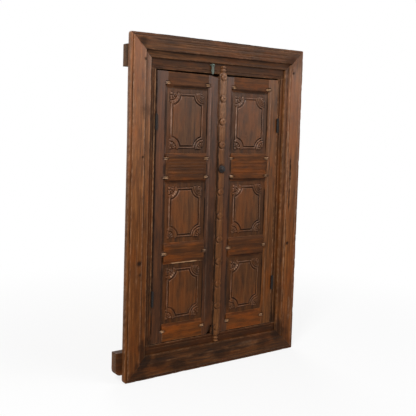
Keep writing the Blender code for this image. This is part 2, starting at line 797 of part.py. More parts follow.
def panel_loops(half_width, half_height):
    """The rings of a panel from its back, over the tongue, margin and carved corners, to its field.

    The bead's outline is a rectangle with hollow quarter-round corners. In each corner, u runs
    inwards along X and v inwards along Z from the corner of that rectangle, so the hollow is an
    arc round it, and the rings with smaller arcs carry the carved fan.
    """
    bead_half = half_width - BEAD_INSET
    bead_rise = half_height - BEAD_INSET
    tongue = BEAD_INSET + GROOVE_DEPTH - TONGUE_CLEARANCE
    steps = CORNER_STEPS_ON_PANEL

    def square_corner(outset):
        """Points round the outside of a square corner, in as many steps as the arcs."""
        reach = FAN_HUB_RADIUS + outset
        points = [(-outset, FAN_HUB_RADIUS + CORNER_LEAD)]
        for k in range(steps + 1):
            share = 2 * k / steps
            if share <= 1:
                points.append((-outset, reach * (1 - share) - outset))
            else:
                points.append((reach * (share - 1) - outset, -outset))
        points.append((FAN_HUB_RADIUS + CORNER_LEAD, -outset))
        return points

    def hollow_corner(outset, radius):
        """Points along a hollow corner whose straight sides lie outset beyond the bead's outline."""
        inset = max(-outset, 0)
        first = math.degrees(math.asin(inset / radius))
        round_part = arc((0, 0), (radius, radius), 90 - first, first, steps)
        start, stop = round_part[0], round_part[-1]
        return [(-outset, start[1] + CORNER_LEAD), *round_part, (stop[0] + CORNER_LEAD, -outset)]

    def ring(corner, side_height, ridge=None, valley=None):
        """One ring round the panel as (x, z, height) points, from one corner's points."""
        heights = [side_height] * len(corner)
        if ridge is not None:
            heights[1:-1] = [ridge if k % 2 else valley for k in range(steps + 1)]
        points = []
        for sign_x, sign_z in ((1, 1), (-1, 1), (-1, -1), (1, -1)):
            turn = list(zip(corner, heights))
            if sign_x != sign_z:
                turn.reverse()
            points += [(sign_x * (bead_half - u), sign_z * (bead_rise - v), h) for (u, v), h in turn]
        return points

    outer = square_corner(tongue)
    bead_end = PANEL_BEAD_WIDTH
    groove_end = bead_end + PANEL_GROOVE_WIDTH
    field_start = groove_end + FIELD_SLOPE
    spacing = PANEL_BEAD_SLOPE
    return [
        ring(outer, -PANEL_THICKNESS),
        ring(outer, 0),
        ring(square_corner(FAN_MARGIN), 0),
        ring(hollow_corner(4 * spacing, FAN_HUB_RADIUS), 0, FAN_HUB_HEIGHT, FAN_HUB_HEIGHT),
        ring(hollow_corner(3 * spacing, FAN_ROOT_RADIUS), 0, FAN_ROOT_HEIGHT, FAN_ROOT_HEIGHT),
        ring(hollow_corner(2 * spacing, FAN_BELLY_RADIUS), 0, FAN_RIDGE_HEIGHT, FAN_VALLEY_HEIGHT),
        ring(hollow_corner(spacing, FAN_TIP_RADIUS), 0, FAN_TIP_HEIGHT, FAN_TIP_HEIGHT / 2),
        ring(hollow_corner(0, CORNER_RADIUS), 0),
        ring(hollow_corner(-spacing, CORNER_RADIUS + spacing), PANEL_BEAD_HEIGHT),
        ring(hollow_corner(spacing - bead_end, CORNER_RADIUS + bead_end - spacing), PANEL_BEAD_HEIGHT),
        ring(hollow_corner(-bead_end, CORNER_RADIUS + bead_end), PANEL_GROOVE_HEIGHT),
        ring(hollow_corner(-groove_end, CORNER_RADIUS + groove_end), PANEL_GROOVE_HEIGHT),
        ring(hollow_corner(-field_start, CORNER_RADIUS + field_start), FIELD_HEIGHT),
    ]


def panel(name, near, far, low, high, material):
    """A panel whose tongue stands in the grooves round one opening of a leaf."""
    middle_x = (near + far) / 2
    middle_z = (low + high) / 2
    margin_y = TIMBER_FRONT + GROOVE_SETBACK + (GROOVE_WIDTH - PANEL_THICKNESS) / 2
    rings = []
    for ring in panel_loops(abs(far - near) / 2, (high - low) / 2):
        rings.append([(middle_x + x, margin_y - height, middle_z + z) for x, z, height in ring])
    return loft(name, rings, material)


def build_leaf(word, side, wood, panel_wood):
    """One leaf: two stiles, four rails and three panels under an empty on its hinge axis."""
    axis = joint_empty(f"{word}_leaf_axis", (side * (OPENING_HALF - LEAF_SIDE_GAP / 2), PIN_Y, 0))
    hinge_edge, meeting_edge = leaf_edges(side)
    hanging_width, meeting_width = stile_widths(side)
    levels = leaf_levels()
    hanging_inner = hinge_edge - side * hanging_width
    meeting_inner = meeting_edge + side * meeting_width

    hanging = stile(f"{word}_hanging_stile", hinge_edge, -side, hanging_width, levels, True, wood)
    hold(hanging, (hinge_edge, TIMBER_FRONT, LEAF_BOTTOM), axis)
    meeting = stile(f"{word}_meeting_stile", meeting_edge, side, meeting_width, levels, False, wood)
    hold(meeting, (meeting_edge, TIMBER_FRONT, LEAF_BOTTOM), axis)

    shapes = (
        ("top_rail", True, False, 0),
        ("upper_rail", True, True, FLUTE_COUNT),
        ("lower_rail", True, True, 0),
        ("bottom_rail", False, True, 0),
    )
    for name, panel_below, panel_above, flutes in shapes:
        bounds = levels[name]
        piece = rail(
            f"{word}_{name}", hanging_inner, meeting_inner, bounds, panel_below, panel_above, flutes, wood,
        )
        hold(piece, ((hanging_inner + meeting_inner) / 2, TIMBER_FRONT, bounds[0]), axis)

    spans = (
        ("top_panel", levels["upper_rail"][1], levels["top_rail"][0]),
        ("middle_panel", levels["lower_rail"][1], levels["upper_rail"][0]),
        ("bottom_panel", levels["bottom_rail"][1], levels["lower_rail"][0]),
    )
    for name, low, high in spans:
        piece = panel(f"{word}_{name}", hanging_inner, meeting_inner, low, high, panel_wood)
        hold(piece, ((hanging_inner + meeting_inner) / 2, TIMBER_FRONT, (low + high) / 2), axis)
    return axis


# Strip over the joint, and its pull

def strip_ring(z, width, crown):
    """A half-round section of the strip at one height."""
    edge = ASTRAGAL_EDGE * crown / ASTRAGAL_CROWN
    curve = arc((0, edge), (width / 2, crown - edge), 180, 0, ASTRAGAL_STEPS)
    outline = [(-width / 2, 0), *curve, (width / 2, 0)]
    return [(ASTRAGAL_X + x, ASTRAGAL_BACK - height, z) for x, height in outline]


def astragal(axis, material):
    """The half-round strip with a finial at each end and round bosses in hollows along it."""
    height = LEAF_TOP - LEAF_BOTTOM
    near = BOSS_RADIUS
    far = BOSS_RADIUS + HOLLOW_REACH
    rings = []
    for height_share, width_share, crown_share in FINIAL_SHARES:
        z = LEAF_BOTTOM - BOTTOM_FINIAL * height_share
        rings.append(strip_ring(z, ASTRAGAL_WIDTH * width_share, ASTRAGAL_CROWN * crown_share))
    hollow = (ASTRAGAL_WIDTH * HOLLOW_WIDTH_SHARE, ASTRAGAL_CROWN * HOLLOW_CROWN_SHARE)
    middles = [LEAF_BOTTOM + height * share for share in BOSS_PLACE_SHARES]
    for middle in middles[1:-1]:
        rings.append(strip_ring(middle - far, ASTRAGAL_WIDTH, ASTRAGAL_CROWN))
        rings.append(strip_ring(middle - near, *hollow))
        rings.append(strip_ring(middle + near, *hollow))
        rings.append(strip_ring(middle + far, ASTRAGAL_WIDTH, ASTRAGAL_CROWN))
    for height_share, width_share, crown_share in reversed(FINIAL_SHARES):
        z = LEAF_TOP + TOP_FINIAL * height_share
        rings.append(strip_ring(z, ASTRAGAL_WIDTH * width_share, ASTRAGAL_CROWN * crown_share))
    strip = loft("astragal", rings, material)

    rise = BOSS_HEIGHT - BOSS_SEAT
    dome = [(BOSS_RADIUS, BOSS_SEAT)]
    dome += [(BOSS_RADIUS * share, BOSS_SEAT + rise * level) for share, level in BOSS_PROFILE_SHARES]
    for middle in middles:
        join(strip, turned("boss", dome, BOSS_SIDES, outwards(ASTRAGAL_X, ASTRAGAL_BACK, middle)))
    at_pull = outwards(ASTRAGAL_X, ASTRAGAL_BACK, PULL_Z)
    room = ((BOSS_RADIUS, PULL_SEAT_HEIGHT), (BOSS_RADIUS, BOSS_HEIGHT + OVERRUN))
    seat = ((BOSS_RADIUS, BOSS_SEAT), (BOSS_RADIUS, PULL_SEAT_HEIGHT))
    cut(strip, turned("pull_room", room, BOSS_SIDES, at_pull))
    join(strip, turned("pull_seat", seat, BOSS_SIDES, at_pull))
    return hold(strip, (ASTRAGAL_X, ASTRAGAL_BACK, LEAF_BOTTOM), axis)


def pull_knob(axis, material):
    """A low iron knob on a round rose, on the strip's flat seat."""
    seat = ASTRAGAL_BACK - PULL_SEAT_HEIGHT - FIT_GAP
    neck_end = PULL_ROSE_THICKNESS + PULL_NECK_LENGTH
    profile = [
        (PULL_ROSE_RADIUS, 0),
        (PULL_ROSE_RADIUS, PULL_ROSE_THICKNESS / 2),
        (PULL_ROSE_RADIUS - PULL_ROSE_THICKNESS, PULL_ROSE_THICKNESS),
        (PULL_NECK_RADIUS, PULL_ROSE_THICKNESS),
    ]
    start = math.degrees(math.acos(PULL_NECK_RADIUS / PULL_HEAD_RADIUS))
    centre = neck_end + PULL_HEAD_HALF_DEPTH * math.sin(math.radians(start))
    radii = (PULL_HEAD_RADIUS, PULL_HEAD_HALF_DEPTH)
    profile += arc((0, centre), radii, -start, start, PULL_HEAD_STEPS)
    knob = turned("pull_knob", profile, PULL_SIDES, outwards(ASTRAGAL_X, seat, PULL_Z), material)
    return hold(knob, (ASTRAGAL_X, seat, PULL_Z), axis)


# Hinges

def plate_section(gap_half):
    """Outline of a hinge half seen from above: u towards its own wood, v backwards, from the pin."""
    outer = gap_half + HINGE_PLATE_THICKNESS
    first = math.degrees(math.asin(math.sqrt(1 - (outer / KNUCKLE_RADIUS) ** 2)))
    last = math.degrees(math.asin(math.sqrt(1 - (gap_half / KNUCKLE_RADIUS) ** 2)))
    barrel = arc((0, 0), (KNUCKLE_RADIUS, KNUCKLE_RADIUS), first, last - 360, KNUCKLE_SIDES)
    reach = PIN_SETOUT + HINGE_PLATE_REACH
    return [(gap_half, reach), (outer, reach), *barrel]


def hinge_half(name, side, towards_jamb, middle_z, material):
    """A plate with its knuckles: the jamb's half has the outer two, the leaf's half the middle one."""
    pin_x = side * (OPENING_HALF - LEAF_SIDE_GAP / 2)
    into_wood = side if towards_jamb else -side
    half = HINGE_HEIGHT / 2
    place = lambda u, v, run: (pin_x + into_wood * u, PIN_Y + v, middle_z + run)
    plate = prism(name, plate_section(LEAF_SIDE_GAP / 2), -half, half, place, material)
    bore = HINGE_PIN_RADIUS + FIT_GAP
    profile = ((bore, -half - OVERRUN), (bore, half + OVERRUN))
    cut(plate, turned("bore", profile, HINGE_PIN_SIDES, upright(pin_x, PIN_Y, middle_z)))

    split = HINGE_HEIGHT * KNUCKLE_SPLIT_SHARE / 2
    clear = KNUCKLE_RADIUS + KNUCKLE_END_GAP
    if towards_jamb:
        gaps = ((-split - KNUCKLE_END_GAP / 2, split + KNUCKLE_END_GAP / 2),)
    else:
        gaps = (
            (split - KNUCKLE_END_GAP / 2, half + OVERRUN),
            (-half - OVERRUN, KNUCKLE_END_GAP / 2 - split),
        )
    for low, high in gaps:
        cut(plate, box(
            "knuckle_gap",
            (pin_x - clear, PIN_Y - clear, middle_z + low),
            (pin_x + clear, PIN_Y + clear, middle_z + high),
        ))
    return plate


def hinge_pin(name, side, middle_z, material):
    """The pin through a hinge's knuckles, with a rounded head at each end."""
    half = HINGE_HEIGHT / 2 + FIT_GAP
    head = HINGE_PIN_HEAD_RADIUS
    tip = head - HINGE_PIN_HEAD_HEIGHT
    upper = [(HINGE_PIN_RADIUS, half), (head, half), (head, half + HINGE_PIN_HEAD_HEIGHT / 2)]
    upper.append((tip, half + HINGE_PIN_HEAD_HEIGHT))
    profile = [(radius, -height) for radius, height in reversed(upper)] + upper
    pin_x = side * (OPENING_HALF - LEAF_SIDE_GAP / 2)
    pin = turned(name, profile, HINGE_PIN_SIDES, upright(pin_x, PIN_Y, middle_z), material)
    return hold(pin, (pin_x, PIN_Y, middle_z))


def build_hinges(word, side, axis, material):
    """Both hinges of a leaf."""
    pin_x = side * (OPENING_HALF - LEAF_SIDE_GAP / 2)
    for level, middle_z in hinge_levels().items():
        name = f"{word}_{level}_hinge"
        jamb_half = hinge_half(f"{name}_jamb_plate", side, True, middle_z, material)
        hold(jamb_half, (pin_x, PIN_Y, middle_z))
        leaf_half = hinge_half(f"{name}_leaf_plate", side, False, middle_z, material)
        hold(leaf_half, (pin_x, PIN_Y, middle_z), axis)
        hinge_pin(f"{name}_pin", side, middle_z, material)


# Hasp and its staple

def hasp_axis_place():
    """The middle of the staple's cross bar, on which the hasp hangs."""
    board_edge = HALF_HEIGHT - TOP_BOARD_WIDTH
    return Vector((-HASP_OFFSET, TIMBER_FRONT - STAPLE_STAND_OFF, board_edge - HASP_EYE_BELOW_BOARD))


def hasp(material):
    """A flat strap with a rolled eye, which hangs in front of the lintel."""
    centre = hasp_axis_place()
    axis = joint_empty("hasp_axis", centre)
    half_width = HASP_WIDTH / 2
    tip_z = LEAF_TOP + HASP_TIP_CLEARANCE - centre.z
    half_tip = half_width * HASP_TIP_SHARE
    outline = [
        (-half_width, 0), (half_width, 0), (half_width, tip_z + HASP_TAPER),
        (half_tip, tip_z), (-half_tip, tip_z), (-half_width, tip_z + HASP_TAPER),
    ]
    front = centre.y - HASP_THICKNESS / 2
    strap = prism(
        "hasp", outline, front, front + HASP_THICKNESS,
        lambda u, v, run: (centre.x + u, run, centre.z + v), material,
    )
    along_x = lambda across, along, height: (centre.x + height, centre.y + across, centre.z + along)
    eye_half = half_width - FIT_GAP
    eye_profile = ((HASP_EYE_RADIUS, -eye_half), (HASP_EYE_RADIUS, eye_half))
    join(strap, turned("eye", eye_profile, HASP_EYE_SIDES, along_x))
    bore = STAPLE_RADIUS + FIT_GAP
    bore_profile = ((bore, -half_width - OVERRUN), (bore, half_width + OVERRUN))
    cut(strap, turned("eye_bore", bore_profile, STAPLE_SIDES, along_x))
    return hold(strap, centre, axis)


def staple_path():
    """The staple's centre line: in from one point, across in front and back in, with round bends."""
    centre = hasp_axis_place()
    leg = HASP_WIDTH / 2 + STAPLE_LEG_CLEARANCE + STAPLE_RADIUS
    bend = STAPLE_RADIUS * 1.5
    point_y = TIMBER_FRONT + STAPLE_BITE
    corner = [(u, v) for u, v in arc((leg - bend, centre.y + bend), (bend, bend), 0, -90, STAPLE_BEND_STEPS)]
    right = [(leg, point_y), *corner]
    left = [(-u, v) for u, v in reversed(right)]
    return [Vector((centre.x + u, v, centre.z)) for u, v in right + left]


def tube_rings(path, radius, sides):
    """Rings square to a flat path that lies level, each turned to halve the bend it stands in."""
    rings = []
    for k, point in enumerate(path):
        before = path[max(k - 1, 0)]
        after = path[min(k + 1, len(path) - 1)]
        along = (after - before).normalized()
        across = along.cross(Vector((0, 0, 1)))
        ring = []
        for n in range(sides):
            angle = 2 * math.pi * (n + 0.5) / sides
            ring.append(point + radius * (math.cos(angle) * across + math.sin(angle) * Vector((0, 0, 1))))
        rings.append(ring)
    return rings


def staple(material):
    """The bent iron staple in the lintel that the hasp hangs on."""
    made = loft("hasp_staple", tube_rings(staple_path(), STAPLE_RADIUS, STAPLE_SIDES), material)
    return hold(made, hasp_axis_place())


def staple_holes():
    """Cutters for the two holes that the staple's legs are driven into."""
    centre = hasp_axis_place()
    leg = HASP_WIDTH / 2 + STAPLE_LEG_CLEARANCE + STAPLE_RADIUS
    radius = STAPLE_RADIUS + FIT_GAP
    profile = ((radius, -STAPLE_BITE - FIT_GAP), (radius, OVERRUN))
    return [
        turned("staple_hole", profile, STAPLE_SIDES, outwards(centre.x + side * leg, TIMBER_FRONT, centre.z))
        for side in (LEFT, RIGHT)
    ]


def main():
    """Builds the whole object."""
    clear_scene()
    board_wood = finish("board_teak", (0.168, 0.078, 0.036), 0.55)
    timber_wood = finish("timber_teak", (0.120, 0.055, 0.028), 0.62)
    leaf_wood = finish("leaf_teak", (0.105, 0.048, 0.030), 0.58)
    panel_wood = finish("panel_teak", (0.125, 0.058, 0.032), 0.50)
    strip_wood = finish("strip_teak", (0.225, 0.120, 0.068), 0.58)
    ply = finish("backing_ply", (0.36, 0.24, 0.14), 0.75)
    silvered = finish("silvered_glass", (0.85, 0.87, 0.88), 0.03, 1.0)
    iron = finish("black_iron", (0.045, 0.045, 0.05), 0.55, 0.85)
    green_iron = finish("green_painted_iron", (0.19, 0.24, 0.23), 0.6, 0.3)
    steel = finish("zinc_steel", (0.55, 0.56, 0.57), 0.35, 1.0)

    moulded_boards(board_wood)
    lintel = cross_timber("lintel", 1, LINTEL_HEIGHT, (LINTEL_HORN, LINTEL_HORN), 0, 0, timber_wood)
    lintel.data.transform(Matrix.Translation(lintel.location))
    lintel.location = (0, 0, 0)
    cut(lintel, *staple_holes())
    hold(lintel, (0, TIMBER_BACK, OPENING_TOP))
    sill_horns = (SILL_LEFT_HORN, SILL_RIGHT_HORN)
    cross_timber("sill", -1, SILL_HEIGHT, sill_horns, HORN_SHOULDER, SILL_CORNER_RADIUS, timber_wood)
    jamb("left_jamb", LEFT, timber_wood)
    jamb("right_jamb", RIGHT, timber_wood)
    frame_pegs(strip_wood)
    mirror_and_back(silvered, ply)
    hanging_plate("left_hanging_plate", LEFT, steel)
    hanging_plate("right_hanging_plate", RIGHT, steel)

    left_axis = build_leaf("left", LEFT, leaf_wood, panel_wood)
    right_axis = build_leaf("right", RIGHT, leaf_wood, panel_wood)
    astragal(right_axis, strip_wood)
    pull_knob(right_axis, iron)
    build_hinges("left", LEFT, left_axis, iron)
    build_hinges("right", RIGHT, right_axis, iron)
    staple(green_iron)
    hasp(green_iron)


main()
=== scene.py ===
"""Looks of an old teak window frame with two panelled shutter leaves, made into a wall mirror.

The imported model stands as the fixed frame. Every wooden member is carved here as a fine mesh that
follows the member it stands for, and every finish is worked out by nodes. Lengths are in metres.
"""

import logging
import math
import zlib
from dataclasses import dataclass
from enum import Enum
from typing import Callable, Optional, Sequence, Union

import bpy
import numpy as np
from mathutils import Matrix, Vector


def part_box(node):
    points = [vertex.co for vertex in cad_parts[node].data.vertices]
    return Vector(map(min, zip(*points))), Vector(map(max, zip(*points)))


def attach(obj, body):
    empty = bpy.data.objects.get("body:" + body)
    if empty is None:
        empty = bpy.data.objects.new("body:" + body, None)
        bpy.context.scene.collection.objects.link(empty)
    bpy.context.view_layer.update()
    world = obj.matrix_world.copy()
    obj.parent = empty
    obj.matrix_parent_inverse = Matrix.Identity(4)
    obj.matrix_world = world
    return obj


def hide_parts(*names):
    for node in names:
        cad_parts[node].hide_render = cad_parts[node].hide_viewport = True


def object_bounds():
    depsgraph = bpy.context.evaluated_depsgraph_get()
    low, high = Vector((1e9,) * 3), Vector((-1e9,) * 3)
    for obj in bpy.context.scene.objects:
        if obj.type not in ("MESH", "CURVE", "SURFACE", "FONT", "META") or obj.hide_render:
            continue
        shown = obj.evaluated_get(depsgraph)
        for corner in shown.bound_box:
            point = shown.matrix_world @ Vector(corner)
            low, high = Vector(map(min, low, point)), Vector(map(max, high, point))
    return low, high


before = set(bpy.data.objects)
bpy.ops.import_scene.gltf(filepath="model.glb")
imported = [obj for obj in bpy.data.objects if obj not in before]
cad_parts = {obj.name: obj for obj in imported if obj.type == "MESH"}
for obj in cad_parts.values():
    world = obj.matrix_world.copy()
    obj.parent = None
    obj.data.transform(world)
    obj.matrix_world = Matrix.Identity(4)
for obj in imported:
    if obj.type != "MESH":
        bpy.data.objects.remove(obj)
CAD_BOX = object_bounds()
MM = 0.001
LEFT, RIGHT = -1, 1
HINGE_LEVELS = ("upper", "lower")
HINGE_PLAY = 0.3 * MM
SHARP_ANGLE = math.radians(38)

Colour = tuple[float, float, float]
Values = Union[np.ndarray, float]
log = logging.getLogger("mirror")


def tone(*levels: int) -> Colour:
    """A linear colour from the 8-bit red, green and blue that a painter's chart would give."""
    shares = (level / 255 for level in levels)
    return tuple(share / 12.92 if share <= 0.04045 else ((share + 0.055) / 1.055) ** 2.4 for share in shares)


def seeded(text: str, cycle: int) -> int:
    """A whole number below the cycle that belongs to a text."""
    return zlib.crc32(text.encode()) % cycle


def smooth_step(low: float, high: float, values: np.ndarray) -> np.ndarray:
    """Rises softly from 0 at low to 1 at high."""
    share = np.clip((values - low) / (high - low), 0, 1)
    return share * share * (3 - 2 * share)


def plateau(values: np.ndarray, start: float, full: float, last: float, stop: float) -> np.ndarray:
    """Rises softly from 0 at start to 1 at full, and falls from 1 at last to 0 at stop."""
    return smooth_step(start, full, values) * smooth_step(stop, last, values)


class LatticeNoise:
    """Smooth noise between -1 and 1, the same for the same seed."""

    SIZE = 48

    def __init__(self, seed: int) -> None:
        """Fills the lattice with the random values that a seed picks."""
        self.values = np.random.default_rng(seed).uniform(-1, 1, (self.SIZE,) * 3)

    def __call__(self, *axes: Values) -> np.ndarray:
        """Reads the noise.

        Args:
            axes: three coordinates in lattice cells, as arrays or numbers.

        Returns:
            One value for each point.
        """
        points = np.stack(np.broadcast_arrays(*axes), axis=-1)
        low = np.floor(points).astype(int)
        share = points - low
        share = share * share * (3 - 2 * share)
        total = np.zeros(points.shape[:-1])
        for corner in np.ndindex(2, 2, 2):
            picked = (low + np.array(corner)) % self.SIZE
            weight = np.where(np.array(corner) == 1, share, 1 - share).prod(axis=-1)
            total += weight * self.values[picked[..., 0], picked[..., 1], picked[..., 2]]
        return total


WEAR = LatticeNoise(11)
CHIPS = LatticeNoise(23)


# Shader nodes

def math_method(operation: str, reflected: bool = False) -> Callable[..., "Socket"]:
    """A method that adds a Math node, with its two values the other way round if reflected.

    Args:
        operation: the Math node's operation.
        reflected: whether the other value comes first.

    Returns:
        The method.
    """
    def method(self: "Socket", other: Union["Socket", float]) -> "Socket":
        """Adds the node."""
        values = (other, self) if reflected else (self, other)
        return self.graph.node("ShaderNodeMath", {"operation": operation}, dict(enumerate(values)))

    return method


class Socket:
    """A node's output. Python's operators on it add Math nodes."""

    __add__ = __radd__ = math_method("ADD")
    __mul__ = __rmul__ = math_method("MULTIPLY")
    __sub__ = math_method("SUBTRACT")
    __rsub__ = math_method("SUBTRACT", reflected=True)
    __truediv__ = math_method("DIVIDE")
    __rtruediv__ = math_method("DIVIDE", reflected=True)
    least = math_method("MINIMUM")
    most = math_method("MAXIMUM")

    def __init__(self, graph: "Graph", output: Optional[bpy.types.NodeSocket]) -> None:
        """Keeps the output and the tree it belongs to."""
        self.graph = graph
        self.output = output

    def sine(self) -> "Socket":
        """Sine of the value."""
        return self.graph.node("ShaderNodeMath", {"operation": "SINE"}, {0: self})

    def step(self, low: float, high: float) -> "Socket":
        """Rises softly from 0 at low to 1 at high."""
        values = {"Value": self, "From Min": low, "From Max": high}
        return self.graph.node("ShaderNodeMapRange", {"interpolation_type": "SMOOTHSTEP"}, values)


class Graph:
    """A node tree under construction."""

    def __init__(self, tree: bpy.types.NodeTree) -> None:
        """Takes a tree and empties it."""
        self.tree = tree
        tree.nodes.clear()

    def node(self, kind: str, settings: Optional[dict] = None, values: Optional[dict] = None,
             output: Union[int, str] = 0) -> Socket:
        """Adds any node.

        Args:
            kind: the node's type.
            settings: its properties, set first.
            values: numbers, colours or sockets for its inputs, by name or by number.
            output: which of its outputs is wanted.

        Returns:
            The wanted output.
        """
        made = self.tree.nodes.new(kind)
        for name, value in (settings or {}).items():
            setattr(made, name, value)
        for name, value in (values or {}).items():
            target = made.inputs[name]
            if isinstance(value, Socket):
                self.tree.links.new(value.output, target)
            else:
                target.default_value = (*value, 1.0) if target.type == "RGBA" else value
        return Socket(self, made.outputs[output] if len(made.outputs) else None)

    def mix(self, first: Union[Socket, Colour], second: Union[Socket, Colour], share: Socket,
            blend: str = "MIX") -> Socket:
        """Blends two colours by a share of the second."""
        settings = {"data_type": "RGBA", "blend_type": blend}
        return self.node("ShaderNodeMix", settings, {0: share, 6: first, 7: second}, 2)

    def layered(self, base: Union[Socket, Colour], *coats: tuple) -> Socket:
        """Lays colours over a base, each given with its share and, where it needs one, its blend.

        Args:
            base: the lowest colour.
            coats: the colours over it, from the lowest up.

        Returns:
            The last colour.
        """
        for coat in coats:
            base = self.mix(base, *coat)
        return base

    def noise(self, vector: Socket, scale: Union[float, Colour], detail: float, rough: float,
              warp: float = 0.0) -> Socket:
        """Fractal noise, mostly between 0.25 and 0.75, with one scale or a scale for each axis.

        Args:
            vector: where it is read.
            scale: how fine it is.
            detail: how many finer layers it has.
            rough: how strong the finer layers are.
            warp: how far it is distorted.

        Returns:
            The noise.
        """
        if isinstance(scale, tuple):
            vector = self.node("ShaderNodeVectorMath", {"operation": "MULTIPLY"}, {0: vector, 1: scale})
            scale = 1.0
        values = {"Vector": vector, "Scale": scale, "Detail": detail, "Roughness": rough, "Distortion": warp}
        return self.node("ShaderNodeTexNoise", None, values)

    def attribute(self, name: str, output: str = "Fac") -> Socket:
        """Reads what the mesh stores for each vertex."""
        return self.node("ShaderNodeAttribute", {"attribute_name": name}, output=output)

    def bump(self, height: Socket, depth: float, strength: float) -> Socket:
        """A normal from a height between 0 and 1."""
        return self.node("ShaderNodeBump", None, {"Height": height, "Distance": depth, "Strength": strength})

    def in_view(self) -> Socket:
        """1 for rays from the camera and for those that metal or glass sends on, 0 for the rest.

        Returns:
            The share of a ray that sees the background.
        """
        camera, glossy, through = (
            self.node("ShaderNodeLightPath", output=name)
            for name in ("Is Camera Ray", "Is Glossy Ray", "Is Transmission Ray")
        )
        return camera.most(glossy).most(through)


def new_material(name: str) -> tuple[bpy.types.Material, Graph]:
    """An empty node material and its graph.

    Args:
        name: the material's name.

    Returns:
        The material and the graph.
    """
    material = bpy.data.materials.new(name)
    material.use_nodes = True
    return material, Graph(material.node_tree)


@dataclass(frozen=True)
class Finish:
    """What all finishes share: a name and the name of a material slot."""

    name: str
    slot: str

    def material(self) -> bpy.types.Material:
        """Builds the material once and gives the same one afterwards.

        Returns:
            The material.
        """
        found = bpy.data.materials.get(self.name)
        if found:
            return found
        material, graph = new_material(self.name)
        values = self.shade(graph, graph.node("ShaderNodeTexCoord", output="Object"))
        surface = graph.node("ShaderNodeBsdfPrincipled", None, values)
        graph.node("ShaderNodeOutputMaterial", None, {"Surface": surface})
        return material

    def shade(self, graph: Graph, place: Socket) -> dict[str, Union[Socket, float]]:
        """Works out the surface: sockets and numbers for the surface shader's inputs."""
        raise NotImplementedError


@dataclass(frozen=True)
class Wood(Finish):
    """Old oiled teak: growth bands, fibres, pores, dirt with painted shade in hollows, rubbed arrises with
    painted highlights, and painted shade towards the bottom.
    """

    dark: Colour = tone(52, 30, 18)
    middle: Colour = tone(108, 66, 42)
    pale: Colour = tone(150, 100, 68)
    warm: Colour = tone(140, 78, 38)
    # Rubbed arrises, and painted highlights where pale stains lie
    rubbed_and_highlight: Colour = tone(186, 140, 100)
    # Only the strongest pale stains reach this tone, among them the painted highlights on the rims of the
    # panels' carved corners and along the left lower rail's arris
    bare: Colour = tone(192, 152, 112)
    # The colour of dirt and of painted shade in hollows
    grime_and_shade_colour: Colour = tone(15, 10, 7)
    # Painted shade: the colour is multiplied by this tint towards the bottom, darker and warmer where less
    # light falls
    low_tint: Colour = (0.97, 0.88, 0.68)
    band_count: float = 6.0
    warm_share: float = 0.5
    # How much of the rubbed tone shows, on worn arrises and on painted highlights
    wear_share: float = 0.75
    roughness: float = 0.55
    shine: float = 0.12
    polish: float = 0.45
    contrast: float = 0.85

    # Scale across and along the fibres, detail, roughness and warp
    LAYERS = {
        "figure": (26, 2.4, 2, 0.5, 0.5), "fibre": (800, 40, 2, 0.6), "strands": (300, 11, 2, 0.6),
        "streak": (120, 6, 3, 0.65), "mottle": (60, 14, 3, 0.6), "patches": (9, 4, 3, 0.6),
        "pores": (1500, 75, 1, 0.5), "scuffs": (240, 60, 4, 0.7),
    }

    def shade(self, graph: Graph, place: Socket) -> dict[str, Union[Socket, float]]:
        """Works out the wood from the mesh's grain, its wear with painted highlights and its dirt with
        painted shade.

        Args:
            graph: the material's graph.
            place: the object's own coordinates.

        Returns:
            Sockets and numbers for the surface shader's inputs.
        """
        grain = graph.attribute("grain", "Vector")
        # wear holds rubbed arrises and pale stains, some of them painted highlights; dirt holds grime and
        # painted shade
        wear, dirt_and_shade = graph.attribute("wear"), graph.attribute("dirt_and_shade")
        figure, fibre, strands, streak, mottle, patches, pores, scuffs = (
            graph.noise(grain, (across, across, along), *rest)
            for across, along, *rest in self.LAYERS.values()
        )
        level = graph.node("ShaderNodeSeparateXYZ", None, {0: place}, "Z")
        bands = (figure * (self.band_count * 2 * math.pi)).sine() * 0.5 + 0.5
        pores = pores.step(0.60, 0.68)
        depth = bands * 0.14 + streak * 0.60 + strands * 0.65 + fibre * 0.25 + mottle * 0.20 - 0.42
        rubbing_and_highlight = (wear * scuffs.step(0.34, 0.66) * 1.1).least(1.0)
        # dirt from the mesh, which is also painted shade in hollows
        grime_and_shade = (dirt_and_shade * (scuffs * 0.8 + 0.7)).least(1.0)
        colour = graph.layered(
            self.dark,
            (self.middle, depth.step(0.26, 0.50) * 0.7 + 0.3),
            (self.pale, depth.step(0.48, 0.74) * self.contrast),
            (self.warm, (patches * 0.65 + mottle * 0.35).step(0.46, 0.62) * self.warm_share),
            (self.dark, (patches * 0.6 + mottle * 0.4).step(0.43, 0.33) * 0.5),
            (self.dark, pores * 0.4),
            # painted shade, darker and warmer towards the bottom
            (self.low_tint, level.step(0.60, -0.60), "MULTIPLY"),
            # rubbed arrises, and painted highlights from pale stains
            (self.rubbed_and_highlight, rubbing_and_highlight * self.wear_share),
            # bare wood and painted highlights where pale stains are strongest
            (self.bare, wear.step(0.95, 1.50) * 0.65),
            # dirt and painted shade
            (self.grime_and_shade_colour, grime_and_shade * 0.92),
        )
        height = strands * 0.6 + fibre * 0.4 + streak * 0.4 - pores * 0.45
        rough = fibre * 0.22 + self.roughness - 0.11 + pores * 0.15 + grime_and_shade * 0.25 - rubbing_and_highlight * 0.08
        waxed = (level.step(-0.25, 0.62) * 0.80 + wear * 0.9 + 0.03) * self.polish * (1 - grime_and_shade)
        return {
            "Base Color": colour, "Roughness": rough, "Specular IOR Level": self.shine, "Coat Weight": waxed,
            "Coat Roughness": 0.36, "Normal": graph.bump(height, 0.5 * MM, 0.5),
        }


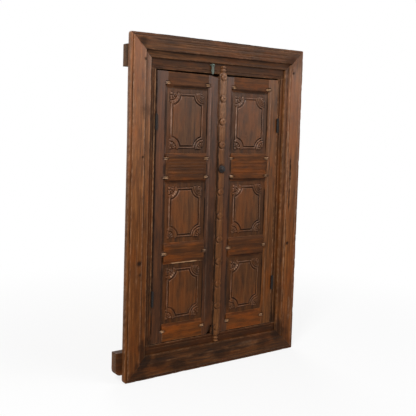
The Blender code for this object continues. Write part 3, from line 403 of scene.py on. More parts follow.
@dataclass(frozen=True)
class Iron(Finish):
    """Hand-forged iron, blackened and a little rusty, or painted where paint is set."""

    bare: Colour = tone(44, 46, 50)
    rust: Colour = tone(78, 44, 26)
    paint: Colour = tone(44, 46, 50)
    paint_share: float = 0.0
    metal: float = 0.75

    def shade(self, graph: Graph, place: Socket) -> dict[str, Union[Socket, float]]:
        """Works out bare, rusted and painted metal.

        Args:
            graph: the material's graph.
            place: the object's own coordinates.

        Returns:
            Sockets and numbers for the surface shader's inputs.
        """
        coarse = graph.noise(place, 160, 4, 0.65)
        fine = graph.noise(place, 900, 3, 0.6)
        dents = coarse * 0.7 + fine * 0.3
        rusted = dents.step(0.50, 0.62)
        covered = (1 - (coarse * 0.4 + fine * 0.6).step(0.46, 0.56)) * self.paint_share
        return {
            "Base Color": graph.layered(self.bare, (self.rust, rusted * 0.75), (self.paint, covered)),
            "Roughness": rusted * 0.25 + fine * 0.2 + 0.36, "Specular IOR Level": 0.2,
            "Metallic": (1 - rusted * 0.7) * self.metal * (1 - covered),
            "Normal": graph.bump(dents, 0.6 * MM, 0.6),
        }


@dataclass(frozen=True)
class ZincSteel(Finish):
    """Pressed steel with a dull zinc spangle."""

    def shade(self, graph: Graph, place: Socket) -> dict[str, Union[Socket, float]]:
        """Works out the plating from small crystal cells.

        Args:
            graph: the material's graph.
            place: the object's own coordinates.

        Returns:
            Sockets and numbers for the surface shader's inputs.
        """
        cells = graph.node("ShaderNodeTexVoronoi", None, {"Vector": place, "Scale": 260.0}, "Color")
        scratches = graph.noise(place, (60, 60, 1500), 2, 0.5)
        spangle = graph.node("ShaderNodeSeparateColor", None, {"Color": cells})
        return {
            "Base Color": graph.mix(tone(150, 152, 154), tone(184, 187, 190), spangle), "Metallic": 1.0,
            "Roughness": spangle * 0.15 + scratches * 0.2 + 0.25,
            "Normal": graph.bump(scratches, 0.1 * MM, 0.4),
        }


@dataclass(frozen=True)
class Silvering(Finish):
    """Mirror glass with faint clouding."""

    def shade(self, graph: Graph, place: Socket) -> dict[str, Union[Socket, float]]:
        """Works out a bright reflecting surface with a hint of haze.

        Args:
            graph: the material's graph.
            place: the object's own coordinates.

        Returns:
            Sockets and numbers for the surface shader's inputs.
        """
        haze = graph.noise(place, 14, 4, 0.6).step(0.55, 0.8)
        colour = graph.mix(tone(240, 243, 243), tone(222, 228, 226), haze)
        return {"Base Color": colour, "Metallic": 1.0, "Roughness": haze * 0.03 + 0.01}


@dataclass(frozen=True)
class Plywood(Finish):
    """Thin backing board with a rotary-cut face veneer."""

    def shade(self, graph: Graph, place: Socket) -> dict[str, Union[Socket, float]]:
        """Works out the wide wavy figure of peeled veneer.

        Args:
            graph: the material's graph.
            place: the object's own coordinates.

        Returns:
            Sockets and numbers for the surface shader's inputs.
        """
        bands = (graph.noise(place, (9, 30, 1.1), 3, 0.5, 0.6) * 60.0).sine() * 0.5 + 0.5
        fibre = graph.noise(place, (700, 700, 22), 2, 0.6)
        stains = graph.noise(place, 7, 3, 0.6).step(0.52, 0.70)
        colour = graph.layered(
            tone(170, 132, 92), (tone(202, 166, 122), bands * 0.6 + fibre * 0.4),
            (tone(128, 96, 66), stains * 0.4),
        )
        return {
            "Base Color": colour, "Roughness": fibre * 0.2 + 0.55,
            "Normal": graph.bump(fibre, 0.3 * MM, 0.4),
        }


def teak(name: str, slot: str, *tones: tuple[int, int, int], **settings: Union[float, Colour]) -> Wood:
    """Old teak from its dark, middle, pale, warm and, where it has one of its own, rubbed tone, which also
    colours painted highlights.

    Args:
        name: the finish's name, without its last word.
        slot: the name of its material slot.
        tones: 8-bit red, green and blue of each tone.
        settings: what else differs from plain old teak.

    Returns:
        The finish.
    """
    keys = ("dark", "middle", "pale", "warm", "rubbed_and_highlight")
    colours = {key: tone(*levels) for key, levels in zip(keys, tones)}
    return Wood(f"{name}_finish", slot, **colours, **settings)


BOARD_TEAK = teak(
    "board_teak", "board_teak", (58, 33, 13), (101, 60, 27), (138, 89, 48), (128, 68, 22), polish=1.0,
    # stronger painted shade towards the bottom
    low_tint=(0.88, 0.76, 0.56),
)
SHADED_TEAK = teak(
    "shaded_teak", "board_teak", (36, 20, 10), (68, 40, 18), (100, 62, 31), (94, 49, 16), warm_share=0.55,
    polish=0.2, wear_share=0.35,
)
TIMBER_TEAK = teak(
    "timber_teak", "timber_teak", (36, 21, 10), (66, 39, 19), (90, 55, 28), (98, 52, 18), warm_share=0.6,
    polish=0.15,
)
LEAF_TEAK = teak(
    "leaf_teak", "leaf_teak", (34, 21, 13), (66, 40, 25), (96, 60, 39), (100, 54, 21), (142, 104, 78),
    warm_share=0.4, polish=0.75, roughness=0.5, contrast=0.6,
)
# Painted light: a lighter, warmer copy of the leaf teak for the right leaf's hanging stile, where more light
# falls
LIT_STILE_TEAK = teak(
    "lit_stile_teak", "leaf_teak", (46, 27, 13), (88, 54, 28), (120, 78, 44), (122, 66, 24),
    (150, 110, 78), polish=0.6, contrast=0.7,
)
RAIL_TEAK = teak(
    "rail_teak", "leaf_teak", (38, 22, 10), (69, 39, 17), (102, 60, 28), (118, 60, 15), (142, 98, 62),
    warm_share=0.55, polish=0.15, contrast=0.7,
)
FOOT_RAIL_TEAK = teak(
    "foot_rail_teak", "leaf_teak", (50, 28, 10), (86, 48, 18), (118, 68, 29), (130, 67, 18), (150, 104, 62),
    warm_share=0.6, polish=0.2, contrast=0.7,
)
PANEL_TEAK = teak(
    "panel_teak", "panel_teak", (42, 25, 14), (76, 47, 26), (104, 68, 40), (112, 62, 26), (158, 122, 100),
    band_count=4.0, polish=0.7, contrast=0.65,
)
STRIP_TEAK = teak(
    "strip_teak", "strip_teak", (54, 33, 18), (89, 56, 32), (124, 84, 54), (104, 60, 27), (164, 120, 86),
    warm_share=0.4,
)
BLACK_IRON = Iron("black_iron_finish", "black_iron", bare=tone(38, 36, 36), rust=tone(62, 42, 30), metal=0.2)
HINGE_IRON = Iron("hinge_iron_finish", "black_iron", bare=tone(27, 25, 24), rust=tone(50, 34, 25), metal=0.1)
GREEN_IRON = Iron(
    "green_iron_finish", "green_painted_iron", rust=tone(112, 82, 58), paint=tone(104, 119, 107),
    paint_share=0.85, metal=0.3,
)
ZINC = ZincSteel("zinc_steel_finish", "zinc_steel")
MIRROR = Silvering("silvered_glass_finish", "silvered_glass")
PLY = Plywood("backing_ply_finish", "backing_ply")


# Meshes

class Grain(Enum):
    """Which way the fibres of a piece run."""

    UPRIGHT = (0, 1, 2)
    LEVEL = (2, 1, 0)


@dataclass(frozen=True)
class Stain:
    """A dark spot on the wood, such as a knot, a nail's rust or grime, and in places a painted shadow. Below
    0 it is a pale spot of rubbed wear, in places a painted highlight.

    Attributes:
        x: how far right its middle lies.
        z: how high.
        radius: its reach up and down.
        strength: how dark it is.
        stretch: how many times wider than high it is.
    """

    x: float
    z: float
    radius: float
    strength: float = 1.0
    stretch: float = 1.0


def read(items: bpy.types.bpy_prop_collection, key: str, width: int, kind: type = np.float32) -> np.ndarray:
    """Reads a property of a mesh's vertices or edges, a row for each.

    Args:
        items: the vertices, their normals or the edges.
        key: the property.
        width: how many numbers it has.
        kind: the numbers' type.

    Returns:
        The numbers.
    """
    values = np.empty(len(items) * width, kind)
    items.foreach_get(key, values)
    return values.reshape(-1, width)


def store(mesh: bpy.types.Mesh, name: str, values: np.ndarray) -> None:
    """Writes one value or vector for each vertex of a mesh."""
    kind, key = ("FLOAT", "value") if values.ndim == 1 else ("FLOAT_VECTOR", "vector")
    mesh.attributes.new(name, kind, "POINT").data.foreach_set(key, values.astype(np.float32).ravel())


def signed_volume(loops: np.ndarray) -> float:
    """Volume inside the side quads and end caps, negative if the faces look inwards.

    Args:
        loops: the rings.

    Returns:
        Six times the volume.
    """
    def fan(a: np.ndarray, b: np.ndarray, c: np.ndarray) -> float:
        """Six times the signed volume under triangles."""
        return float(np.einsum("...i,...i->...", a, np.cross(b, c)).sum())

    loops = loops - loops.reshape(-1, 3).mean(axis=0)
    low, high = loops[:-1], loops[1:]
    low_next, high_next = np.roll(low, -1, axis=1), np.roll(high, -1, axis=1)
    total = fan(low, low_next, high_next) + fan(low, high_next, high)
    for ring, turn in ((loops[0], -1), (loops[-1], 1)):
        total += turn * fan(np.broadcast_to(ring[0], ring[1:-1].shape), ring[1:-1], ring[2:])
    return total


def as_mesh(name: str, loops: np.ndarray) -> bpy.types.Mesh:
    """Closes rings into one body with flat ends, faces outwards and soft but for real edges.

    Args:
        name: the mesh's name.
        loops: the rings, as an array of rings, points and coordinates.

    Returns:
        The mesh.
    """
    rings, points = loops.shape[:2]
    here = np.arange(points)
    following = (here + 1) % points
    starts = (np.arange(rings - 1) * points)[:, None]
    quads = starts + here, starts + following, starts + points + following, starts + points + here
    faces = np.stack(quads, axis=2).reshape(-1, 4).tolist()
    faces += [list(range(points))[::-1], list(range((rings - 1) * points, rings * points))]
    if signed_volume(loops) < 0:
        faces = [face[::-1] for face in faces]
    mesh = bpy.data.meshes.new(name)
    mesh.from_pydata(loops.reshape(-1, 3).tolist(), [], faces)
    mesh.shade_smooth()
    mesh.set_sharp_from_angle(angle=SHARP_ANGLE)
    return mesh


@dataclass
class Piece:
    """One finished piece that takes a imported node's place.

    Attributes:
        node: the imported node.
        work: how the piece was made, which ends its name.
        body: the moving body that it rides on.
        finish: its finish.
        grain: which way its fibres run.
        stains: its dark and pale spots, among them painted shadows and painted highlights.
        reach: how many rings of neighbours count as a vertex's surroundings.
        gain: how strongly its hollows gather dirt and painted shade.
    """

    node: str
    work: str
    body: str
    finish: Finish
    grain: Grain = Grain.UPRIGHT
    stains: Sequence[Stain] = ()
    reach: int = 5
    gain: float = 1.0

    WEAR_DEPTH = 0.9 * MM

    def make(self, x: Values, y: Values, z: Values, sunk_grime_and_shade: Optional[np.ndarray] = None) -> None:
        """Builds the mesh, stores grain, wear and dirt on it with their painted highlights and shade, dresses
        it and fixes it to its body.

        Args:
            x: how far right each point lies, a row for each ring.
            y: how far back.
            z: how high.
            sunk_grime_and_shade: least dirt and painted shade for each point.
        """
        name = f"{self.node}_{self.work}"
        mesh = as_mesh(name, np.stack(np.broadcast_arrays(x, y, z), axis=2))
        shift = np.random.default_rng(zlib.crc32(name.encode())).uniform(-4, 4, 3)
        store(mesh, "grain", read(mesh.vertices, "co", 3)[:, self.grain.value] + shift)
        self.weather(mesh, sunk_grime_and_shade)
        mesh.materials.append(self.finish.material())
        made = bpy.data.objects.new(name, mesh)
        bpy.context.scene.collection.objects.link(made)
        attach(made, self.body)
        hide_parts(self.node)
        log.info("%s: %d faces on %s", name, len(mesh.polygons), self.body)

    def weather(self, mesh: bpy.types.Mesh, sunk_grime_and_shade: Optional[np.ndarray]) -> None:
        """Stores wear where the mesh stands proud of its surroundings, and dirt with painted shade where it
        lies in a hollow.

        Args:
            mesh: the finished mesh.
            sunk_grime_and_shade: least dirt and painted shade for each vertex.
        """
        places = read(mesh.vertices, "co", 3).astype(float)
        normals = read(mesh.vertex_normals, "vector", 3)
        first, second = read(mesh.edges, "vertices", 2, np.int32).T
        count = len(places)
        degree = np.bincount(first, minlength=count) + np.bincount(second, minlength=count)
        calm = places.copy()
        for _ in range(self.reach):
            calm = np.stack([
                np.bincount(first, calm[second, axis], count) + np.bincount(second, calm[first, axis], count)
                for axis in range(3)
            ], axis=1) / degree[:, None]

        def noise(scale: float) -> np.ndarray:
            """Noise at the vertices."""
            return WEAR(*(places * scale).T)

        proud = ((places - calm) * normals).sum(axis=1)
        speckle = 0.25 + 0.75 * np.clip(noise(90) * 0.8 + noise(260) * 0.4 + 0.45, 0, 1)
        wear = np.clip(proud / self.WEAR_DEPTH - 0.25, 0, 1) * speckle * 0.55
        broad = 0.45 + 0.55 * smooth_step(-0.45, 0.25, noise(24))
        # Hollows gather dirt, and the same darkening also paints the shade that falls in them
        dirt_and_shade = np.clip(-self.gain * proud / self.WEAR_DEPTH - 0.12, 0, 1) * (0.7 + 0.3 * speckle) * broad
        if sunk_grime_and_shade is not None:
            dirt_and_shade = np.maximum(dirt_and_shade, sunk_grime_and_shade)
        forward = smooth_step(0.6, 0.2, normals[:, 1])
        ragged = 0.30 * noise(45) + 0.15 * noise(120)
        # Dark stains add to the dirt and pale ones to the wear; some dark stains are painted shadows and some
        # pale ones painted highlights
        for stain in self.stains:
            away = np.hypot((places[:, 0] - stain.x) / stain.stretch, places[:, 2] - stain.z)
            away = away + stain.radius * ragged
            spot = abs(stain.strength) * smooth_step(stain.radius, stain.radius * 0.35, away) * forward
            if stain.strength > 0:
                dirt_and_shade = np.maximum(dirt_and_shade, spot)
            else:
                wear = np.maximum(wear, spot)
                dirt_and_shade = dirt_and_shade * (1 - np.clip(spot, 0, 1))
        store(mesh, "wear", wear)
        store(mesh, "dirt_and_shade", dirt_and_shade)


def rounded(points: Sequence[tuple[float, float]], radii: Sequence[float]) -> np.ndarray:
    """Eases the corners of a closed outline.

    Args:
        points: the outline's corners.
        radii: how far back along its sides each corner is eased. 0 leaves it sharp.

    Returns:
        The outline with three points for each eased corner.
    """
    corners = np.array(points, float)
    eased = []
    for k, corner in enumerate(corners):
        if radii[k] == 0:
            eased.append(corner)
            continue
        before, after = corners[k - 1] - corner, corners[(k + 1) % len(corners)] - corner
        reach = min(radii[k], 0.45 * float(np.hypot(*before)), 0.45 * float(np.hypot(*after)))
        start = corner + before / np.hypot(*before) * reach
        stop = corner + after / np.hypot(*after) * reach
        eased += [start, (start + 2 * corner + stop) / 4, stop]
    return np.array(eased)


def divided(points: np.ndarray, longest: float) -> np.ndarray:
    """Adds points to a closed outline so that no side is longer than a length.

    Args:
        points: the outline.
        longest: that length.

    Returns:
        The outline with its new points.
    """
    result = []
    for start, stop in zip(points, np.roll(points, -1, axis=0)):
        pieces = max(1, math.ceil(float(np.hypot(*(stop - start))) / longest))
        result += [start + (stop - start) * k / pieces for k in range(pieces)]
    return np.array(result)


def lines(start: float, stop: float, step: float, *fine: tuple[float, float, float]) -> np.ndarray:
    """Grid lines from start to stop.

    Args:
        start: the first line.
        stop: the last line.
        step: the usual distance.
        fine: spans with closer lines, as low, high and distance.

    Returns:
        Rising positions.
    """
    marks = {start, stop}
    position = start
    while position < stop:
        marks.add(min(position, stop))
        local = step
        for low, high, close in fine:
            if low - 1e-9 <= position < high - 1e-9:
                local = min(local, close)
            elif position < low < position + local:
                local = low - position
        position += local
    ordered = sorted(marks)
    kept = [ordered[0]]
    for mark in ordered[1:]:
        if mark - kept[-1] > 0.15 * MM:
            kept.append(mark)
    kept[-1] = stop
    return np.array(kept)


def outline_turns(points: np.ndarray) -> tuple[np.ndarray, np.ndarray]:
    """Unit vectors out of a closed outline at its points, and how sharply it turns there, from 0 to 1.

    Args:
        points: the outline.

    Returns:
        The vectors and the turns.
    """
    last, following = np.roll(points, 1, axis=0), np.roll(points, -1, axis=0)
    way = 1 if float(np.cross(points, following).sum()) > 0 else -1
    along, before, after = following - last, points - last, following - points
    out = np.stack([along[:, 1], -along[:, 0]], axis=1) * way
    turn = np.cross(before, after) / (np.linalg.norm(before, axis=1) * np.linalg.norm(after, axis=1))
    return out / np.linalg.norm(out, axis=1)[:, None], np.clip(turn * way * 1.6, 0, 1)


# Moulded boards

@dataclass
class Crack:
    """A drying crack along a board, at a distance in from its outer edge."""

    inset: float
    start: float
    stop: float
    depth: float = 1.6 * MM
    half_width: float = 1.3 * MM


@dataclass
class MouldedBoards:
    """The four mitred boards round the front, with fillets, a cove and worn outer corners."""

    half_width: float = 0.415
    half_height: float = 0.640
    back: float = -0.0376
    thickness: float = 0.020
    side_width: float = 0.091
    top_width: float = 0.085
    bottom_width: float = 0.088
    fillet_drop: float = 4.5 * MM
    step_drop: float = 2.2 * MM
    inner_edge: float = 10.5 * MM
    fillet_share: float = 0.13
    flat_share: float = 0.70
    cove_share: float = 0.94
    fillet_step: float = 0.8 * MM
    mitre_gap: float = 0.3 * MM
    easing: float = 1.7 * MM
    mitre_zone: float = 0.03
    grid: float = 5 * MM
    mitre_grid: float = 2 * MM
    wave: float = 0.30 * MM
    ripple: float = 0.12 * MM
    chip_depth: float = 3.2 * MM
    worn_arris: float = 0.35 * MM
    bow: float = 0.9 * MM
    bow_reach: float = 0.020

    CORNER_RADII = {(LEFT, 1): 9 * MM, (RIGHT, 1): 7 * MM, (LEFT, -1): 15 * MM, (RIGHT, -1): 8 * MM}
    CRACKS = {
        "right_board": ((0.053, -0.06, 0.20, 3.0 * MM, 2.6 * MM), (0.030, -0.52, -0.40)),
        "left_board": ((0.040, -0.30, -0.10, 1.1 * MM), (0.024, 0.20, 0.42, 0.9 * MM)),
        "top_board": (
            (0.0205, -0.33, 0.08, 0.9 * MM), (0.0280, -0.20, 0.33, 1.1 * MM), (0.0370, -0.31, 0.02, 0.8 * MM),
            (0.0440, 0.04, 0.34, 1.1 * MM), (0.0520, -0.22, 0.20, 0.8 * MM),
        ),
        "bottom_board": (
            (0.0240, -0.05, 0.33, 0.9 * MM), (0.0340, -0.24, 0.02, 1.3 * MM), (0.0450, -0.12, 0.28, 0.9 * MM),
        ),
    }
    # x, z, radius, strength and stretch of each board's stains. The pale strip down the right board's cove,
    # at x 0.348, is a painted highlight
    STAINS = {
        "left_board": (
            (-0.354, 0.545, 0.006), (-0.357, 0.194, 0.008), (-0.364, -0.196, 0.014), (-0.359, -0.238, 0.007),
            (-0.366, 0.608, 0.018, 0.6, 1.2), (-0.345, 0.36, 0.035, 0.35), (-0.330, -0.535, 0.060, 0.75, 0.6),
            (-0.352, -0.585, 0.035, 0.6), (-0.325, 0.0, 0.5, 0.35, 0.012), (-0.380, -0.28, 0.60, 0.15, 0.3),
            (-0.415, 0, 2.0, 0.34, 0.0016), (-0.376, -0.618, 0.034, 0.55, 0.8),
            (-0.340, -0.530, 0.070, 0.7, 0.40),
        ),
        "right_board": (
            (0.359, 0.543, 0.009), (0.360, -0.174, 0.008), (0.338, 0.553, 0.034, 0.55),
            (0.333, 0.50, 0.05, 0.5, 0.4), (0.331, 0, 2.0, 0.40, 0.006), (0.3480, 0.1, 0.9, -0.5, 0.0045),
            (0.3390, 0, 2.0, 0.85, 0.0016), (0.3620, 0.13, 0.07, 1.0, 0.07), (0.3610, 0.02, 0.07, 0.9, 0.06),
            (0.335, -0.545, 0.055, 0.7, 0.6), (0.355, -0.565, 0.045, 0.5, 0.9),
            (0.380, -0.620, 0.060, 0.40, 0.7), (0.380, 0.615, 0.075, 0.40, 0.8),
            (0.348, 0.580, 0.030, 0.5, 1.0),
        ),
        "top_board": (
            (-0.366, 0.608, 0.024, 0.6, 1.4), (-0.35, 0.575, 0.02, 0.5), (0, 0.5795, 0.003, 0.7, 150),
            (0, 0.6395, 0.0035, 0.7, 150), (0.340, 0.585, 0.032, 0.5, 1.6),
        ),
        "bottom_board": (
            (-0.350, -0.620, 0.030, 0.6, 2.2), (-0.338, -0.570, 0.045, 0.8), (-0.27, -0.580, 0.035, 0.6, 1.6),
            (-0.19, -0.605, 0.03, 0.6, 2), (0.02, -0.595, 0.030, 0.6, 2), (-0.08, -0.577, 0.022, 0.6, 2.5),
            (0.12, -0.580, 0.025, 0.55, 3), (0.24, -0.585, 0.035, 0.55, 1.5), (0.34, -0.570, 0.03, 0.6),
            (0.17, -0.578, 0.014, -0.4, 6), (0, -0.562, 0.016, 0.5, 30), (-0.326, -0.566, 0.03, 0.75, 1.8),
            (0.330, -0.566, 0.03, 0.75, 1.8),
        ),
    }

    def section(self, width: float, cracks: Sequence[Crack]) -> np.ndarray:
        """Outline across a board: distance in from its outer edge, height off its back.

        Args:
            width: the board's width.
            cracks: cracks that need points of their own.

        Returns:
            The eased outline with all its points.
        """
        face = self.thickness
        fillet = face - self.fillet_drop
        shares = (self.fillet_share, self.flat_share, self.cove_share)
        fillet_end, flat_end, cove_end = (share * width for share in shares)
        cove_wide, cove_top = cove_end - flat_end, face - self.step_drop
        cove_deep = cove_top - self.inner_edge
        cove = [
            (cove_end + cove_wide * math.cos(angle), cove_top + cove_deep * math.sin(angle))
            for angle in (math.radians(180 + 90 * k / 8) for k in range(9))
        ]
        cracked = [
            (crack.inset + shift * crack.half_width, face)
            for crack in sorted(cracks, key=lambda crack: crack.inset) for shift in (-1, 0, 1)
        ]
        points = [
            (0, 0), (0, fillet), (fillet_end - self.fillet_step, fillet), (fillet_end, fillet),
            (fillet_end, face), *cracked, (flat_end, face), *cove, (width, self.inner_edge), (width, 0),
        ]
        before = [0, self.easing, 0, 0, 1.3 * MM, *[0] * len(cracked)]
        radii = [*before, 1.0 * MM, *[0] * len(cove), self.easing, 0]
        return divided(rounded(points, radii), 6.5 * MM)

    def board(self, name: str, width: float, slant: float, side: int, upright: bool) -> None:
        """Builds and dresses one board.

        Args:
            name: the board's name.
            width: its width.
            slant: how far its mitre runs back for each unit in from the edge.
            side: which way it lies from the middle.
            upright: whether it stands or lies level.
        """
        cracks = [Crack(*row) for row in self.CRACKS[name]]
        outline = self.section(width, cracks)
        normals, corners = outline_turns(outline)
        reach, edge = (self.half_height, self.half_width) if upright else (self.half_width, self.half_height)
        zone, close = self.mitre_zone, self.mitre_grid
        steps = lines(-reach, reach, self.grid, (-reach, -reach + zone, close), (reach - zone, reach, close))
        first = self.mitre_gap + outline[:, 0] * slant - reach
        run = first + (-2 * first) * ((steps + reach) / (2 * reach))[:, None]
        inset, height = (np.broadcast_to(column, run.shape) for column in outline.T)
        seed = seeded(name, 97)
        wave = WEAR(inset * 30 + seed, height * 30, run * 9) * self.wave
        wave = wave + WEAR(inset * 160, height * 160 + seed, run * 42) * self.ripple
        chips = np.clip(CHIPS(inset * 60, height * 60 + seed, run * 75) - 0.25, 0, 1)
        bite = chips * self.chip_depth + self.worn_arris
        lift = (wave - corners * bite) * (height > 0.5 * MM)
        for crack in cracks:
            near = np.abs(inset - crack.inset) < 0.2 * MM
            along = plateau(run, crack.start, crack.start + zone, crack.stop - zone, crack.stop)
            ragged = 0.65 + 0.35 * WEAR(run * 60, crack.inset * 90, 0)
            lift = np.where(near, lift - along * ragged * crack.depth, lift)
        edge_bow = smooth_step(self.bow_reach, 0.0, inset) * WEAR(run * 4.1 + seed, 0, 0)
        across = side * (edge - (inset + normals[:, 0] * lift + edge_bow * self.bow))
        x, z = self.round_corners(*((across, run) if upright else (run, across)))
        look = (BOARD_TEAK, Grain.UPRIGHT) if upright else (SHADED_TEAK, Grain.LEVEL)
        stains = [Stain(*row) for row in self.STAINS[name]]
        Piece(name, "carved", "frame", *look, stains).make(x, self.back - (height + normals[:, 1] * lift), z)

    def round_corners(self, x: np.ndarray, z: np.ndarray) -> tuple[np.ndarray, np.ndarray]:
        """Draws points in the four outer corners onto their worn rounding.

        Args:
            x: how far right the points lie.
            z: how high.

        Returns:
            The new places, right and high.
        """
        for (side, level), radius in self.CORNER_RADII.items():
            right = side * x - (self.half_width - radius)
            above = level * z - (self.half_height - radius)
            away = np.hypot(right, above)
            inside = (right > 0) & (above > 0) & (away > radius)
            scale = np.where(inside, radius / np.maximum(away, 1e-9), 1.0)
            x = np.where(inside, side * (self.half_width - radius + right * scale), x)
            z = np.where(inside, level * (self.half_height - radius + above * scale), z)
        return x, z

    def build(self) -> None:
        """Builds and dresses the four boards."""
        slant = (self.top_width + self.bottom_width) / 2 / self.side_width
        for side, name in ((LEFT, "left_board"), (RIGHT, "right_board")):
            self.board(name, self.side_width, slant, side, True)
        for level, name, width in ((1, "top_board", self.top_width), (-1, "bottom_board", self.bottom_width)):
            self.board(name, width, self.side_width / width, level, False)


# Leaves

@dataclass
class Leaf:
    """One shutter leaf: two stiles with stopped chamfers, four rails and three carved panels."""

    word: str
    side: int
    chamfer_width: float = 12 * MM
    chamfer_depth: float = 7 * MM
    chamfer_slope: float = 5 * MM
    rail_chamfer_depth: float = 6 * MM
    rail_side_depth: float = 3.0 * MM
    tongue: float = 7 * MM
    flute_count: int = 5
    flute_pitch: float = 12 * MM
    flute_width: float = 9 * MM
    flute_depth: float = 0.9 * MM
    stop_height: float = 14 * MM
    stop_reach: float = 13 * MM
    stop_rim: float = 2.2 * MM
    rib_pitch: float = 5.2 * MM
    rib_depth: float = 2.2 * MM
    notches: tuple[tuple[float, float], ...] = ()
    meeting_lap: float = 1.2 * MM
    sag: float = 3.5 * MM
    recess_depth: float = 2.3 * MM
    recess_reach: float = 18.3 * MM
    back_easing: float = 0.8 * MM
    outer_arris: float = 1.2 * MM
    inner_arris: float = 0.9 * MM
    panel_arris: float = 0.8 * MM
    free_arris: float = 1.3 * MM
    joint_arris: float = 1.6 * MM
    wave: float = 0.25 * MM
    ripple: float = 0.10 * MM
    lowest: float = -0.1 * MM
    long_grid: float = 5 * MM
    wide_grid: float = 3.5 * MM
    stop_grid: float = 0.7 * MM
    stop_zone: float = 13 * MM
    edge_zone: float = 14 * MM
    joint_zone: float = 19 * MM

    # How far the stops of each rail lie from it
    RUN_ON = {"top_rail": 0.017, "upper_rail": 0.020, "lower_rail": 0.034, "bottom_rail": 0.028}
    # Marks along a stile's inner edge, right or left: distance in mm, reach, strength and half width in mm.
    # On a right edge the mark is painted shade on the chamfer that faces away from the light; on a left edge
    # the pale mark is a painted sheen along the chamfer's upper edge
    EDGE_MARKS = {
        True: ((-3, 1.15, 0.6, 13),),
        False: ((0.5, 1.2, 0.9, 4), (12.5, 1.3, -0.35, 2.6), (18, 1, 0.35, 5)),
    }

    @property
    def body(self) -> str:
        """The moving body of this leaf."""
        return f"{self.word}_leaf"

    def box(self, part: str) -> tuple[Vector, Vector]:
        """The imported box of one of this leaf's nodes."""
        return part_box(f"{self.word}_{part}")

    def outer_and_inner(self) -> tuple[tuple[float, float], ...]:
        """Outer and inner edge of the hanging stile and of the meeting stile.

        Returns:
            Both edges of the one, then of the other.
        """
        (left, inner_left), (inner_right, right) = sorted(
            [corner.x for corner in self.box(part)] for part in ("hanging_stile", "meeting_stile")
        )
        edges = (left, inner_left), (right, inner_right)
        return edges if self.side == LEFT else edges[::-1]

    def runs(self) -> list[tuple[float, float]]:
        """Lower and upper end of the stiles' chamfer at each panel, from the top down.

        Returns:
            Both ends for each panel.
        """
        return [
            (self.box(lower)[1].z - self.RUN_ON[lower], self.box(upper)[0].z + self.RUN_ON[upper])
            for upper, lower in zip(self.RUN_ON, list(self.RUN_ON)[1:])
        ]

    def stops(self) -> tuple[float, ...]:
        """The middle heights of the ribbed stops, from the top down.

        Returns:
            Five heights.
        """
        (upper_stop, top_stop), (_, middle_stop), (bottom_stop, _) = self.runs()
        low, high = self.box("lower_rail")
        return top_stop, upper_stop, middle_stop, (low.z + high.z) / 2, bottom_stop

    def wear(self, x: np.ndarray, z: np.ndarray, seed: int) -> np.ndarray:
        """Gentle unevenness of a planed and handled face, in metres."""
        return WEAR(x * 40, seed, z * 11) * self.wave + WEAR(x * 170, seed, z * 50) * self.ripple

    def arris(self, distance: np.ndarray, run: np.ndarray, radius: float) -> np.ndarray:
        """How far a rounded and chipped edge falls away at a distance from it.

        Args:
            distance: distances from the edge.
            run: places along it.
            radius: its rounding.

        Returns:
            Depths in metres.
        """
        chips = np.clip(CHIPS(run * 70, self.side * 9, 0) - 0.35, 0, 1)
        reach = radius * (1 + 1.5 * chips)
        inside = np.clip(1 - distance / reach, 0, 1)
        return reach * (1 - np.sqrt(1 - inside * inside))

    def hollowed(self, distance: np.ndarray, depth: float) -> np.ndarray:
        """Depth of a hollow chamfer, steep at its upper edge and flat where it meets the panel."""
        share = np.clip(1 - distance / self.chamfer_width, 0, 1)
        return depth * (1 - (1 - share) ** 2)

    def chamfer_share(self, z: np.ndarray, low: float, high: float) -> np.ndarray:
        """How much of its depth a stopped chamfer has along its run."""
        ends, slope = self.stop_height * 0.45, self.chamfer_slope
        return plateau(z, low + ends - slope, low + ends, high - ends, high - ends + slope)

    def ribs(self, z: np.ndarray, away: np.ndarray) -> np.ndarray:
        """Depth of the grooves round and between the two ribs of a stop.

        Args:
            z: heights.
            away: distances from the joint of stile and rail.

        Returns:
            Depth in metres, 0 outside the stops.
        """
        depth = np.zeros(np.broadcast(z, away).shape)
        across = smooth_step(self.stop_reach, self.stop_reach - 2 * MM, away)
        end = smooth_step(self.stop_rim, 0.8 * MM, np.abs(away - (self.stop_reach - self.stop_rim)))
        for middle in self.stops():
            height = np.abs(z - middle)
            near = smooth_step(self.stop_height * 0.54, self.stop_height * 0.44, height)
            grooves = 0.5 + 0.5 * np.cos(height * 2 * math.pi / self.rib_pitch)
            depth = np.maximum(depth, near * across * self.rib_depth * np.maximum(grooves, end))
        return depth

    def beside_rails(self, z: np.ndarray) -> np.ndarray:
        """Share of the shallow chamfer that a stile has along the middle rails, 0 at the stops.

        Args:
            z: heights.

        Returns:
            The shares.
        """
        stops = self.stops()
        share = plateau(z, stops[-1], stops[-1] + 12 * MM, stops[0] - 12 * MM, stops[0])
        for middle in stops:
            share = share * smooth_step(7 * MM, 10 * MM, np.abs(z - middle))
        return share

    def rubs(self, *edges: float) -> list[Stain]:
        """Dark outlines and pale ribs of the stops beside each joint.

        Args:
            edges: where the joints of stile and rail lie.

        Returns:
            The stains.
        """
        spots = []
        for edge in edges:
            for middle in self.stops():
                spots.append(Stain(edge, middle, 10 * MM, 0.95, 2.1))
                spots += [
                    Stain(edge, middle + shift * self.rib_pitch, 2.5 * MM, -1.4, 6.6) for shift in (-0.5, 0.5)
                ]
        return spots

